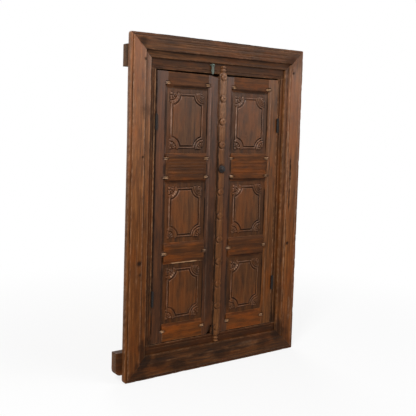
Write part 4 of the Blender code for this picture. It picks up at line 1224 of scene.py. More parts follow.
    def backed(self, across: np.ndarray, front: np.ndarray, edges: tuple[float, float], flat: float,
               run: np.ndarray, seed: int) -> tuple[np.ndarray, np.ndarray]:
        """Adds an uneven flat back with eased edges to rows of points across a front.

        Args:
            across: where the front's points lie across the piece.
            front: how far back they lie.
            edges: the back's first and last edge.
            flat: how far back its flat lies.
            run: where the rows lie along the piece.
            seed: picks the unevenness.

        Returns:
            Both arrays with the back's points added.
        """
        width = abs(edges[1] - edges[0])
        inner = np.linspace(self.back_easing, width - self.back_easing, max(3, math.ceil(width / (9 * MM))))
        away = np.concatenate([[0.0], inner, [width]])
        drop = np.where((away == 0) | (away == width), self.back_easing, 0.0)
        ones = np.ones((len(run), 1))
        back = ones * (edges[0] + math.copysign(1, edges[1] - edges[0]) * away)
        depth = ones * (flat - drop) + self.wear(back, run[:, None], seed + 1) * 0.7
        return np.concatenate([across, back], axis=1), np.concatenate([front, depth], axis=1)

    def stile(self, part: str) -> None:
        """Builds and dresses a stile.

        Args:
            part: hanging_stile or meeting_stile.
        """
        hanging = part == "hanging_stile"
        inner_right = hanging == (self.side == LEFT)
        low, high = self.box(part)
        width = high.x - low.x
        hinges = self.hinge_spans() if hanging else ()
        close = [(stop - self.stop_zone, stop + self.stop_zone, self.stop_grid) for stop in self.stops()]
        close += [(low.z, low.z + 0.03, 2 * MM), (high.z - 0.03, high.z, 2 * MM)]
        close += [(edge - 1 * MM, edge + 1 * MM, 0.5 * MM) for span in hinges for edge in span]
        z_lines = lines(low.z, high.z, self.long_grid, *sorted(close))
        inner_zone = (width - self.edge_zone, width, 0.9 * MM)
        u_lines = lines(0, width, self.wide_grid, (0, 2 * self.outer_arris, 0.6 * MM), inner_zone)
        u, z = np.meshgrid(u_lines, z_lines)
        seed = seeded(f"{self.word}{part}", 89)
        wear = self.wear(u, z, seed)
        depth = self.arris(u, z, self.outer_arris) + wear
        for start, stop in self.runs():
            cut = self.hollowed(width - u, self.chamfer_depth) * self.chamfer_share(z, start, stop)
            depth = np.maximum(depth, cut + wear * 0.6)
        depth = np.maximum(depth, self.hollowed(width - u, self.rail_side_depth) * self.beside_rails(z))
        depth = np.maximum(depth, self.arris(width - u, z, self.inner_arris)) + self.ribs(z, width - u)
        depth = np.clip(depth, self.lowest, None)
        shift = np.zeros((len(z_lines), 1))
        for start, stop in hinges:
            shift[(z_lines > start) & (z_lines < stop)] = self.recess_depth
        u = np.maximum(u, shift + (u / width) * 1e-5)
        u, depth = self.backed(u, depth, (width, 0), high.y - low.y, z_lines, seed)
        recess = np.full_like(shift, self.recess_reach)
        u = np.concatenate([u, shift * 0, shift], axis=1)
        depth = np.concatenate([depth, recess, recess], axis=1)
        x = low.x + u if inner_right else high.x - u
        z = np.broadcast_to(z_lines[:, None], u.shape)
        if not hanging:
            lap = smooth_step(9 * MM, 1 * MM, u) * smooth_step(17 * MM, 12 * MM, depth)
            x = x - self.side * self.meeting_lap * lap
            z = self.notched(u, depth, z, low.z, high.z)
        edge = high.x if inner_right else low.x
        stains = self.rubs(edge)
        marks = sorted(self.stops())
        for start, stop in zip(marks, marks[1:]):
            half = (stop - start) / 2 - 4 * MM
            # Painted shade and a painted sheen along the inner edge, from EDGE_MARKS
            stains += [
                Stain(edge + away * MM, (start + stop) / 2, half * reach, strength, wide * MM / half)
                for away, reach, strength, wide in self.EDGE_MARKS[inner_right]
            ]
        if self.side == LEFT and hanging:
            stains.append(Stain(low.x + 1 * MM, 0.1, 0.9, 0.9, 0.0055))
        elif self.side == LEFT:
            stains += [Stain(-0.034, -0.24, 0.36, 0.35, 0.09), Stain(-0.020, -0.500, 0.020, 0.8, 0.6)]
        # the right leaf's hanging stile takes the lighter copy, painted light
        finish = LIT_STILE_TEAK if hanging and self.side == RIGHT else LEAF_TEAK
        piece = Piece(f"{self.word}_{part}", "carved", self.body, finish, Grain.UPRIGHT, stains)
        piece.make(x, low.y + depth, self.sagged(x, z, high.z))

    def notched(self, u: np.ndarray, depth: np.ndarray, z: np.ndarray, low: float, high: float) -> np.ndarray:
        """Breaks away the front of the meeting edge's corners by this leaf's notches: reach and height.

        Args:
            u: distances from the meeting edge.
            depth: distances from the front.
            z: heights.
            low: the stile's lower end.
            high: its upper end.

        Returns:
            The new heights.
        """
        for (reach, height), end, turn in zip(self.notches, (high, low), (-1, 1)):
            corner = smooth_step(reach, reach * 0.25, u) * smooth_step(19 * MM, 6 * MM, depth)
            near = smooth_step(30 * MM, 0.0, np.abs(z - end))
            z = z + turn * height * corner * near
        return z

    def sagged(self, x: np.ndarray, z: np.ndarray, top: float) -> np.ndarray:
        """Planes the top edge down towards the meeting side.

        Args:
            x: how far right the points lie.
            z: how high.
            top: the leaf's top.

        Returns:
            The new heights.
        """
        (start, _), (stop, _) = self.outer_and_inner()
        near = smooth_step(25 * MM, 2 * MM, top - z)
        return z - self.sag * near * np.clip((x - start) / (stop - start), 0, 1)

    def hinge_spans(self) -> list[tuple[float, float]]:
        """The height ranges that the hinge plates are let into."""
        boxes = (self.box(f"{level}_hinge_leaf_plate") for level in HINGE_LEVELS)
        return [(low.z - HINGE_PLAY, high.z + HINGE_PLAY) for low, high in boxes]

    def rail(self, part: str, below: bool, above: bool, flutes: int) -> None:
        """Builds and dresses a rail between the stiles.

        Args:
            part: the rail's node name without the leaf's word.
            below: whether a panel lies under it.
            above: whether a panel lies over it.
            flutes: how many shallow flutes run along it.
        """
        low, high = self.box(part)
        height = high.z - low.z
        start, stop = sorted(edges[1] for edges in self.outer_and_inner())
        span, zone, pitch = stop - start, self.joint_zone, self.flute_pitch
        x_lines = lines(start, stop, 4 * MM, (start, start + zone, 1.5 * MM), (stop - zone, stop, 1.5 * MM))
        first = height / 2 - pitch * (flutes - 1) / 2
        fine = [(first - pitch / 2, first + pitch * (flutes - 0.5), 1.2 * MM)] if flutes else []
        levels = (middle - low.z for middle in self.stops())
        fine += [(level - 10 * MM, level + 10 * MM, self.stop_grid) for level in levels]
        upper_zone = (height - self.edge_zone, height, 1 * MM)
        w_lines = lines(0, height, self.wide_grid, (0, self.edge_zone, 1 * MM), *fine, upper_zone)
        w, x = np.meshgrid(w_lines, x_lines)
        seed = seeded(f"{self.word}{part}", 83)
        wear = self.wear(w, x, seed)
        depth = wear
        for distance, panelled in ((w, below), (height - w, above)):
            if panelled:
                depth = np.maximum(depth, self.hollowed(distance, self.rail_chamfer_depth) + wear * 0.5)
            depth = depth + self.arris(distance, x, self.panel_arris if panelled else self.free_arris)
        for k in range(flutes):
            away = np.abs(w - (first + k * pitch)) / (self.flute_width / 2)
            ends = plateau(x, start + 2 * MM, start + 16 * MM, stop - 16 * MM, stop - 2 * MM)
            groove = np.clip(1 - away, 0, 1)
            uneven = 0.85 + 0.2 * WEAR(x * 30, seed + k, 0)
            depth = depth + self.flute_depth * groove * (2 - groove) * ends * uneven
        end = np.minimum(x - start, stop - x)
        depth = np.maximum(depth + self.ribs(low.z + w, end), self.arris(end, w, self.joint_arris))
        depth = np.clip(depth, self.lowest, None)
        w, depth = self.backed(w, depth, (height, 0), high.y - low.y, x_lines, seed)
        x, z = x_lines[:, None], low.z + w
        if part == "top_rail":
            z = self.sagged(x, z, high.z)
        # The left lower rail gets a painted highlight along its lower arris; a rail with a panel below gets
        # painted shade on its down-facing chamfer; the bottom rail gets a dark strip along its upper chamfer
        if part == "lower_rail" and self.side == LEFT:
            share, level, radius, strength, wide = 0.55, low.z + 3 * MM, 3.4 * MM, -1.9, 0.56
        elif below:
            share, level, radius, strength, wide = 0.5, low.z + 5 * MM, 7 * MM, 0.6, 0.75
        else:
            share, level, radius, strength, wide = 0.5, high.z - 5 * MM, 9 * MM, 0.55, 0.8
        stains = self.rubs(start, stop)
        stains.append(Stain(start + share * span, level, radius, strength, wide * span / radius))
        finish = FOOT_RAIL_TEAK if part == "bottom_rail" else RAIL_TEAK
        piece = Piece(f"{self.word}_{part}", "carved", self.body, finish, Grain.LEVEL, stains)
        piece.make(x, low.y + depth, z)

    def build(self) -> None:
        """Builds and dresses the whole leaf."""
        self.stile("hanging_stile")
        self.stile("meeting_stile")
        self.rail("top_rail", True, False, 0)
        self.rail("upper_rail", True, True, self.flute_count)
        self.rail("lower_rail", True, True, 0)
        self.rail("bottom_rail", False, True, 0)
        for part in ("top_panel", "middle_panel", "bottom_panel"):
            CarvedPanel(self, part).build()


class Motif(Enum):
    """What is carved in a hollow corner of a panel, and which corner that is."""

    DRILLED_LEAF = (LEFT, 1)
    RINGED_ROSE = (RIGHT, 1)
    PETALS = (LEFT, -1)
    FOLDED_LEAF = (RIGHT, -1)

    @property
    def rimmed(self) -> bool:
        """Whether a smooth rim runs round it."""
        return self in (Motif.DRILLED_LEAF, Motif.PETALS)


@dataclass
class CarvedPanel:
    """A panel with a raised field, a bead that hollows at the corners and a carving in each corner."""

    leaf: Leaf
    part: str
    inset: float = 19 * MM
    hollow: float = 36 * MM
    bead_width: float = 6 * MM
    bead_height: float = 4.0 * MM
    groove_width: float = 3.4 * MM
    groove_height: float = 0.3 * MM
    field_height: float = 4.2 * MM
    field_slope: float = 3 * MM
    thickness: float = 6.4 * MM
    grid: float = 6 * MM
    fine_grid: float = 1.15 * MM
    fine_span: float = 66 * MM
    relief: float = 1.3
    rim_height: float = 5.0 * MM
    lit_reach: float = 34 * MM
    # How dark the panel's sunk margin and groove are painted: grime, and painted shade
    sunk_grime_and_shade: float = 0.42
    sunk_grime_and_shade_level: float = 1.6 * MM
    tool_marks: float = 0.12 * MM

    # How pale the bead's left side is, rubbed wear with a painted highlight, how bright the painted
    # highlights on the rim of the upper left corner are, and how strongly dirt and painted shade gather in
    # hollows
    WEAR_HIGHLIGHT_AND_SHADE = {
        "top_panel": (0.9, 0.7, 2.6), "middle_panel": (0.55, 1.2, 1.9), "bottom_panel": (0.35, 1.3, 1.2),
    }

    def bead(self, inward: np.ndarray) -> np.ndarray:
        """Height of bead, groove and field at a distance in from the bead's outer edge.

        Args:
            inward: the distances.

        Returns:
            Heights above the margin.
        """
        middle = self.bead_width / 2
        rounded_top = np.sqrt(np.clip(1 - ((inward - middle) / middle) ** 2, 0, 1))
        on_bead = self.bead_height * (0.25 + 0.75 * rounded_top)
        groove_end = self.bead_width + self.groove_width
        rise = smooth_step(groove_end, groove_end + self.field_slope, inward)
        inside = self.groove_height + (self.field_height - self.groove_height) * rise
        height = np.where(inward < self.bead_width, on_bead, inside)
        return np.where(inward < 0, 0.0, height)

    def carving(self, motif: Motif, a: np.ndarray, b: np.ndarray) -> np.ndarray:
        """Height of a corner's carving.

        Args:
            motif: what is carved.
            a: distance in from the bead's side edge.
            b: distance in from the bead's top or bottom edge.

        Returns:
            The height above the margin.
        """
        angle = np.arctan2(b, a)
        share = np.hypot(a, b) / self.hollow
        inside = smooth_step(1.02, 0.96, share)
        if motif.rimmed:
            rim = 4.0 * MM * plateau(share, 0.74, 0.80, 0.92, 1.0)
            lobes = 5 if motif is Motif.DRILLED_LEAF else 7
            petal = np.abs(np.sin(angle * lobes)) ** 0.7
            belly = plateau(share, 0.16, 0.30, 0.62, 0.74)
            eye = 3.6 * MM * smooth_step(0.20, 0.12, share)
            height = np.maximum(belly * (0.9 * MM + 3.2 * MM * petal), eye)
            if motif is Motif.PETALS:
                height = height - 1.6 * MM * smooth_step(0.06, 0.01, np.abs(share - 0.36))
            else:
                for turn in (18, 45, 72):
                    middle_a = 0.50 * self.hollow * math.cos(math.radians(turn))
                    middle_b = 0.50 * self.hollow * math.sin(math.radians(turn))
                    drilled = smooth_step(2.6 * MM, 1.3 * MM, np.hypot(a - middle_a, b - middle_b))
                    height = height - 3.4 * MM * drilled
            return np.maximum(height, rim) * inside * self.relief
        if motif is Motif.RINGED_ROSE:
            flutes = 3.6 * MM * (0.35 + 0.65 * np.abs(np.cos((share - 0.50) * math.pi / 0.17)))
            height = flutes * smooth_step(0.47, 0.53, share) * smooth_step(1.0, 0.93, share)
            away = np.hypot(a - 0.22 * self.hollow, b - 0.22 * self.hollow) / self.hollow
            rose = 3.8 * MM * smooth_step(0.30, 0.24, away)
            rose = rose - 2.2 * MM * smooth_step(0.05, 0.01, np.abs(away - 0.16))
            rose = rose - 2.0 * MM * smooth_step(0.07, 0.02, away)
            return np.maximum(height, rose) * inside * self.relief
        across = (a - b) / self.hollow / math.sqrt(2)
        fold = 3.8 * MM * smooth_step(0.97, 0.86, share) * smooth_step(0.10, 0.22, share)
        height = fold * np.where(share > 0.70, 1.0, 0.45 + 0.55 * np.abs(np.cos(angle * 6)))
        height = height - 2.6 * MM * smooth_step(0.05, 0.01, np.abs(share - 0.68))
        height = height - 1.6 * MM * smooth_step(0.04, 0.0, np.abs(across)) * smooth_step(0.6, 0.4, share)
        return np.clip(height, 0, None) * inside * self.relief

    def grid_lines(self, edge: float) -> np.ndarray:
        """Grid lines from edge to edge that lie close near both ends."""
        near, far = edge - self.leaf.tongue, edge - self.fine_span - self.leaf.tongue
        return lines(-edge, edge, self.grid, (-near, -far, self.fine_grid), (far, near, self.fine_grid))

    def build(self) -> None:
        """Builds and dresses the panel."""
        name = f"{self.leaf.word}_{self.part}"
        low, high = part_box(name)
        middle = (low + high) / 2
        tongue = self.leaf.tongue
        half_x, half_z = (high.x - low.x) / 2 - tongue, (high.z - low.z) / 2 - tongue
        edge_x, edge_z = half_x + tongue, half_z + tongue
        bead_x, bead_z = half_x - self.inset, half_z - self.inset
        x_lines, z_lines = self.grid_lines(edge_x), self.grid_lines(edge_z)
        x, z = np.meshgrid(x_lines, z_lines)
        a, b = bead_x - np.abs(x), bead_z - np.abs(z)
        deep_a, deep_b = np.clip(a, 0, None), np.clip(b, 0, None)
        radius = np.hypot(deep_a, deep_b)
        inward = np.minimum(np.minimum(a, b), radius - self.hollow)
        height = self.bead(inward)
        for motif in Motif:
            right, above = motif.value
            quarter = (x * right > 0) & (z * above > 0)
            here = quarter & (np.hypot(a, b) < self.hollow * 1.03) & (inward < 0)
            spill = smooth_step(-6 * MM, 0.0, np.minimum(a, b))
            height = np.where(here, self.carving(motif, deep_a, deep_b) * spill, height)
            if motif.rimmed:
                hollow = self.hollow
                ridge = plateau(radius, hollow * 0.70, hollow * 0.78, hollow + 2 * MM, hollow + 5.5 * MM)
                ridged = np.maximum(height, self.rim_height * ridge)
                height = np.where(quarter & (np.minimum(a, b) > 0), ridged, height)
        seed = seeded(name, 79)
        patchy = 0.75 + 0.35 * WEAR(x * 60, seed, z * 25)
        # Grime and painted shade where the panel lies low, in its margin and its groove
        sunk_grime_and_shade = self.sunk_grime_and_shade * smooth_step(self.sunk_grime_and_shade_level, 0.2 * MM, height) * patchy
        height = height + self.leaf.wear(x, z, seed) * 0.8
        height = height + WEAR(x * 420, z * 420, seed) * self.tool_marks
        front = high.y - self.thickness - height
        all_x, y = self.leaf.backed(x, front, (edge_x, -edge_x), high.y, z_lines, seed)
        sunk_grime_and_shade = np.pad(sunk_grime_and_shade, ((0, 0), (0, all_x.shape[1] - x.shape[1]))).ravel()
        shaft = bead_z - self.hollow
        rubbed_and_highlight, lit, gain = self.WEAR_HIGHLIGHT_AND_SHADE[self.part]
        # A pale line down the bead's left side, rubbed wear with a painted highlight; a painted shadow down
        # the panel's left edge beside the stile; a painted shadow along its top edge under the rail
        stains = [
            Stain(middle.x - bead_x + 1.5 * MM, middle.z, shaft * 1.3, -rubbed_and_highlight, 2.6 * MM / shaft),
            Stain(middle.x - half_x, middle.z, 2.0, 0.7, 0.0025),
            Stain(middle.x, middle.z + half_z, 5 * MM, 0.6, 30),
        ]
        # Painted highlights on the rim of the upper left corner's carving
        for turn in (28, 44, 60):
            over, down = (self.lit_reach * part(math.radians(turn)) for part in (math.cos, math.sin))
            stains.append(Stain(middle.x - bead_x + over, middle.z + bead_z - down, 4.6 * MM, -lit))
        if name == "left_top_panel":
            stains.append(Stain(middle.x, middle.z, 0.25, 0.14))
        Piece(name, "carved", self.leaf.body, PANEL_TEAK, Grain.UPRIGHT, stains, reach=6, gain=gain).make(
            middle.x + all_x, y, middle.z + z_lines[:, None], sunk_grime_and_shade)


# Strip over the joint

@dataclass
class Strip:
    """The carved strip that covers the joint, with buds in hollows along it and a finial at each end."""

    body: str = "right_leaf"
    width: float = 0.0365
    crown: float = 10.5 * MM
    edge: float = 3.0 * MM
    bud_radius: float = 15.5 * MM
    bud_height: float = 12.2 * MM
    bud_shift: float = 2.4 * MM
    gouge: float = 7.0 * MM
    worn_buds: int = 7
    worn_share: float = 0.55
    seat_height: float = 12 * MM
    left_lap: float = 0.7 * MM
    hollow_share: float = 0.90
    hollow_crown: float = 0.96
    hollow_reach: float = 5 * MM
    top_finial: float = 0.038
    bottom_finial: float = 0.037
    points_across: int = 41
    grid: float = 1.5 * MM
    wave: float = 0.35 * MM
    ripple: float = 0.15 * MM

    # Height of the facets at a share of the strip's half width
    FACETS = ((0, 0.30, 0.60, 0.84, 1.0), (1.0, 0.97, 0.87, 0.62, 0.15))
    # Where the buds lie along the strip between its finials
    BUDS = (0.024, 0.110, 0.196, 0.284, 0.371, 0.462, 0.555, 0.736, 0.825, 0.912, 0.993)
    # Share of a finial's length, of the strip's half width and of its height
    FINIAL = (
        (1.00, 0.18, 0.40), (0.93, 0.46, 1.05), (0.84, 0.55, 1.35), (0.74, 0.44, 1.05), (0.68, 0.36, 0.75),
        (0.60, 0.50, 1.00), (0.50, 0.58, 1.15), (0.40, 0.44, 0.85), (0.33, 0.34, 0.65), (0.20, 0.84, 0.90),
        (0.00, 1.00, 1.00),
    )

    def build(self) -> None:
        """Builds and dresses the strip."""
        low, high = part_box("astragal")
        pull_low, pull_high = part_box("pull_knob")
        pull_z = (pull_low.z + pull_high.z) / 2
        middle_x, half = (low.x + high.x) / 2, self.width / 2
        bottom, top = low.z + self.bottom_finial, high.z - self.top_finial
        z_lines = lines(low.z, high.z, self.grid)
        marks = np.array([
            *((bottom - self.bottom_finial * along, *rest) for along, *rest in self.FINIAL),
            *((top + self.top_finial * along, *rest) for along, *rest in self.FINIAL[::-1]),
        ])
        width_share, crown_share = (np.interp(z_lines, marks[:, 0], marks[:, k]) for k in (1, 2))
        buds = bottom + (top - bottom) * np.array(self.BUDS)
        for bud in buds[1:-1]:
            near = smooth_step(self.bud_radius + self.hollow_reach, self.bud_radius, np.abs(z_lines - bud))
            width_share = width_share * (1 - near * (1 - self.hollow_share))
            crown_share = crown_share * (1 - near * (1 - self.hollow_crown))
        half_width = half * width_share
        for disc in (*buds, pull_z):
            chord = np.sqrt(np.clip(self.bud_radius ** 2 - (z_lines - disc) ** 2, 0, None))
            half_width = np.maximum(half_width, chord)
        turns = np.linspace(-math.pi / 2, math.pi / 2, self.points_across)
        s, z = np.meshgrid(np.sin(turns), z_lines)
        x = s * half_width[:, None] - self.left_lap * smooth_step(-0.5, -1.0, s)
        strip_half = (half * width_share)[:, None]
        across = np.clip(np.abs(x) / strip_half, 0, 1)
        facets = np.interp(across, *self.FACETS)
        surface = (self.edge + (self.crown - self.edge) * facets) * crown_share[:, None]
        surface = np.where(np.abs(x) > strip_half, self.edge * 0.5, surface)
        for number, bud in enumerate(buds):
            worn = self.worn_share if number < self.worn_buds else 1.0
            surface = self.crescent(surface, x - self.bud_shift, z - bud, worn)
            surface = np.maximum(surface, self.bud(x - self.bud_shift, z - bud) * (0.76 + 0.24 * worn))
        seat = np.hypot(x, z - pull_z) < self.bud_radius
        surface = np.where(seat, self.seat_height, surface)
        surface = surface + WEAR(x * 60, z * 25, 3) * self.wave
        surface = surface + WEAR(x * 240, z * 90, 5) * self.ripple
        surface = np.where(seat, np.minimum(surface, self.seat_height), surface)
        under = x[:, -1:] + (x[:, :1] - x[:, -1:]) * np.linspace(0, 1, 6)
        height = np.concatenate([np.clip(surface, 1 * MM, None), under * 0], axis=1)
        # The dark line down each flank of the strip is a painted shadow
        stains = (
            Stain(middle_x - half, 0, 2.0, 0.85, 0.0030), Stain(middle_x - 2 * MM, pull_z, 21 * MM, 1.0),
            Stain(middle_x + half, 0, 2.0, 0.45, 0.0020), Stain(middle_x, 0.44, 0.22, -0.4),
        )
        Piece("astragal", "carved", self.body, STRIP_TEAK, Grain.UPRIGHT, stains).make(
            middle_x + np.concatenate([x, under], axis=1), high.y - height, z_lines[:, None])

    def bud(self, x: np.ndarray, z: np.ndarray) -> np.ndarray:
        """Height of a domed bud with a small eye.

        Args:
            x: distances to the right of its middle.
            z: distances above it.

        Returns:
            The heights, 0 beside it.
        """
        share = np.hypot(x, z) / (self.bud_radius * 0.90)
        dome = self.bud_height * np.sqrt(np.clip(1 - (share * 0.95) ** 7, 0, 1))
        dome = dome - 2.2 * MM * smooth_step(0.26, 0.10, share)
        return np.where(share < 1, dome, 0.0)

    def crescent(self, surface: np.ndarray, x: np.ndarray, z: np.ndarray, share_cut: float) -> np.ndarray:
        """Cuts the gouged crescents that set a bud off from the strip, deepest on its left.

        Args:
            surface: the strip's heights.
            x: distances to the right of the bud's middle.
            z: distances above it.
            share_cut: how much of the gouges is left on this bud.

        Returns:
            The heights with the crescents cut away.
        """
        angle = np.degrees(np.arctan2(z, -x))
        left = smooth_step(80, 35, np.abs(angle + 12))
        ring = smooth_step(0.24, 0.04, np.abs(np.hypot(x, z) / self.bud_radius - 0.99))
        return surface - ring * (0.5 * MM + self.gouge * left * share_cut)


@dataclass
class Pull:
    """The low iron knob on its round rose."""

    body: str = "right_leaf"
    sides: int = 48
    hammering: float = 0.035

    # Radius and rise of the knob above its rose, in mm
    STEM = (
        (6.2, 3.4), (5.2, 4.4), (5.4, 5.2), (7.6, 6.2), (9.4, 8.0), (10.0, 9.8), (9.4, 11.6), (7.6, 13.2),
        (5.0, 14.2), (2.4, 14.6), (0.6, 14.7),
    )

    def build(self) -> None:
        """Builds and dresses the knob."""
        low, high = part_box("pull_knob")
        centre = (low + high) / 2
        rose = (high.x - low.x) / 2
        profile = np.array([
            (rose, 0.0), (rose, 0.9 * MM), (rose - 0.9 * MM, 1.9 * MM), (rose - 3.5 * MM, 2.3 * MM),
            (rose - 7 * MM, 2.7 * MM), *((radius * MM, rise * MM) for radius, rise in self.STEM),
        ])
        radius, rise = profile.T[:, :, None]
        angles = np.linspace(0, 2 * math.pi, self.sides, endpoint=False)
        hammered = 1 + self.hammering * WEAR(np.cos(angles) * 2 + rise * 300, np.sin(angles) * 2, 0)
        reach = np.minimum(radius * hammered, rose)
        scale = (high.y - low.y) / profile[-1, 1]
        Piece("pull_knob", "forged", self.body, BLACK_IRON).make(
            centre.x + reach * np.cos(angles), high.y - rise * scale, centre.z + reach * np.sin(angles))


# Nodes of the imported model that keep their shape

def dress(finish: Finish, *nodes: str) -> None:
    """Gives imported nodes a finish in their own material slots.

    Args:
        finish: the finish.
        nodes: the nodes' names.
    """
    material = finish.material()
    for name in nodes:
        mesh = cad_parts[name].data
        if not mesh.materials:
            mesh.materials.append(material)
        for index in range(len(mesh.materials)):
            mesh.materials[index] = material
        log.info("%s dressed as %s", name, finish.name)


@dataclass
class Carcass:
    """Timbers behind the boards with their bead and their pegs, and the mirror with its back."""

    opening_half: float = 0.296
    lip: float = 10 * MM
    glass_lap: float = 8 * MM
    bead_width: float = 10 * MM
    bead_height: float = 3 * MM
    quirk: float = 2.2 * MM
    worn_bead: float = 0.55
    leaf_zone: float = 20.8 * MM
    rebate: float = 4.3 * MM
    jamb_width: float = 75 * MM
    shoulder: float = 8 * MM
    corner_radius: float = 20 * MM
    knee: float = 13 * MM
    recess_depth: float = 2.3 * MM
    recess_reach: float = 18.4 * MM
    easing: float = 1.0 * MM
    wave: float = 0.35 * MM
    ripple: float = 0.15 * MM
    saw_marks: float = 0.2 * MM
    rear_points: int = 10
    planing: float = 0.30 * MM
    peg_sides: int = 9

    # Radius share of a whittled peg, and how far it stands out past its front or its back end in mm
    PEG_ENDS = (
        (0.86, "front", 0), (0.97, "front", 1), (1.0, "back", 0), (0.92, "back", 0.8), (0.7, "back", 1.1),
    )

    def bead(self, away: np.ndarray) -> np.ndarray:
        """Depth of the bead and its quirk at a distance from the opening's edge.

        Args:
            away: the distances.

        Returns:
            The depths, 0 beyond the quirk.
        """
        half = self.bead_width / 2
        arch = np.sqrt(np.clip(1 - ((away - half) / half) ** 2, 0, 1))
        in_quirk = np.where(away < self.bead_width + self.quirk, self.bead_height, 0.0)
        return np.where(away < self.bead_width, self.bead_height * (1 - arch), in_quirk)

    def cross_timber(self, name: str, outward: int, shoulder: float, corner: float) -> None:
        """Builds and dresses the lintel or the sill.

        Args:
            name: the timber's name.
            outward: 1 above the opening, -1 below it.
            shoulder: how far its horns stand back from the opening's edge.
            corner: the rounding of the horns' far corners.
        """
        low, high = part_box(name)
        front, back = low.y, high.y
        edge = low.z + self.lip if outward > 0 else high.z - self.lip
        height = high.z - low.z - self.lip
        lip_half = self.opening_half - self.lip
        shoulder_half = self.opening_half + self.jamb_width
        fine = [(low.x, low.x + 24 * MM, 1.6 * MM), (high.x - 24 * MM, high.x, 1.6 * MM)]
        for side in (LEFT, RIGHT):
            joint = sorted((side * (self.opening_half - 2 * MM), side * (self.opening_half + 14 * MM)))
            fine.append((*joint, 1.1 * MM))
            for place in (lip_half, shoulder_half):
                fine.append((side * place - 0.6 * MM, side * place + 0.6 * MM, 0.4 * MM))
        x = lines(low.x, high.x, 5 * MM, *sorted(fine))[:, None]
        coarse = lines(15 * MM, height - self.easing, 5 * MM)
        d = np.concatenate([np.arange(0, 13.1, 1.08) * MM, coarse, [height]])
        inside = (np.abs(x) < lip_half).astype(float)
        on_horn = (np.abs(x) > shoulder_half).astype(float)
        start = shoulder * on_horn
        end = np.minimum(x - low.x, high.x - x)
        eased = self.easing * (end < 0.1 * MM)
        drop = corner - np.sqrt(np.clip(corner ** 2 - np.clip(corner - end, 0, None) ** 2, 0, None))
        reach = height - drop - eased
        near = start + d * (self.knee - start) / self.knee
        far = self.knee + (d - self.knee) * (reach - self.knee) / (height - self.knee)
        d = np.where(d < self.knee, near, far)
        depth = self.bead(np.maximum(np.abs(x) - self.opening_half, d)) * (1 - on_horn) * self.worn_bead
        seed = seeded(name, 71)
        depth = depth + WEAR(x * 12, d * 60, seed) * self.wave
        depth = depth + WEAR(x * 60, d * 200, seed) * self.ripple
        depth = np.clip(depth, 0, None) + eased
        depth[:, -1] += self.easing
        flat = np.zeros_like(x)
        rebate_y, zone_y = back - self.rebate, front + self.leaf_zone
        lap = start + (self.glass_lap - self.lip) * inside
        lip = start - self.lip * inside
        share = np.linspace(0, 1, self.rear_points)
        rear = (reach - self.easing) * (1 - share) + (lap + 0.1 * MM * (1 - inside)) * share
        marks = WEAR(x * 30, rear * 60, seed + 2) * self.saw_marks
        marks[:, -1] = 0
        all_d = [d, reach, rear, lap, lip, lip, start]
        all_y = [
            front + depth, flat + back - self.easing, back + marks, flat + rebate_y,
            rebate_y - 2 * MM * (1 - inside), flat + zone_y, zone_y - 1 * MM * (1 - inside),
        ]
        stains = [Stain(shift, edge, 0.03, 0.5) for shift in (-0.29, 0.29)]
        stains.append(Stain(low.x, (low.z + high.z) / 2, 0.12, 0.6 if outward > 0 else 0.3, 0.35))
        # Along the lintel's lip, a dark band of painted shadow in the gap over the leaves
        if outward > 0:
            stains.append(Stain(0, edge - 9 * MM, 8.5 * MM, 1.0, 60))
            stains.append(Stain(0, edge + 18 * MM, 40 * MM, 0.22, 30))
        else:
            stains.append(Stain(0, edge - 17 * MM, 30 * MM, 0.55, 30))
        Piece(name, "worn", "frame", TIMBER_TEAK, Grain.LEVEL, stains).make(
            x, np.concatenate(all_y, axis=1), edge + outward * np.concatenate(all_d, axis=1))

    def jamb(self, word: str, side: int) -> None:
        """Builds and dresses an upright timber between lintel and sill, with its hinge recesses.

        Args:
            word: left or right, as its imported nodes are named.
            side: the same as LEFT or RIGHT.
        """
        low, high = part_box(f"{word}_jamb")
        top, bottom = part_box("lintel")[0].z + self.lip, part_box("sill")[1].z - self.lip
        depth = high.y - low.y
        bead = [(u, float(self.bead(np.array(u)))) for u in np.linspace(0, self.bead_width, 10)]
        bead[-1] = (self.bead_width, self.bead_height)
        quirk_end = self.bead_width + self.quirk
        lap, wall = self.glass_lap - self.lip, depth - self.rebate
        outline = [
            *bead, (quirk_end - 0.1 * MM, self.bead_height), (quirk_end, 0), (self.jamb_width, 0),
            (self.jamb_width, depth), (lap, depth), (lap, wall), (-self.lip, wall),
            (-self.lip, self.leaf_zone), (0, self.leaf_zone), (0, self.recess_reach + 0.1 * MM),
            (0, self.recess_reach),
        ]
        radii = [0] * len(bead) + [0, 0.5 * MM, self.easing, self.easing, 0, 0, 0, 0.8 * MM, 0, 0, 0]
        section = divided(rounded(outline, radii), 6 * MM)
        plates = (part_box(f"{word}_{level}_hinge_jamb_plate") for level in HINGE_LEVELS)
        spans = [(plate[0].z - HINGE_PLAY, plate[1].z + HINGE_PLAY) for plate in plates]
        close = [(edge - 0.6 * MM, edge + 0.6 * MM, 0.4 * MM) for span in spans for edge in span]
        z = lines(bottom, top, 6 * MM, *sorted(close))[:, None]
        u, v = (np.broadcast_to(column, (len(z), len(section))) for column in section.T)
        lift = WEAR(u * 60, v * 60 + side * 5, z * 12) * self.planing * (v < 1 * MM) * (u > 0.5 * MM)
        for start, stop in spans:
            sunk = (z > start) & (z < stop) & (v < self.recess_reach + 0.05 * MM)
            u = np.where(sunk, np.maximum(u, self.recess_depth), u)
        dirty = side * (self.opening_half + 16 * MM)
        stains = [Stain(dirty, bottom, 0.08, 0.6, 0.5)]
        if side == LEFT:
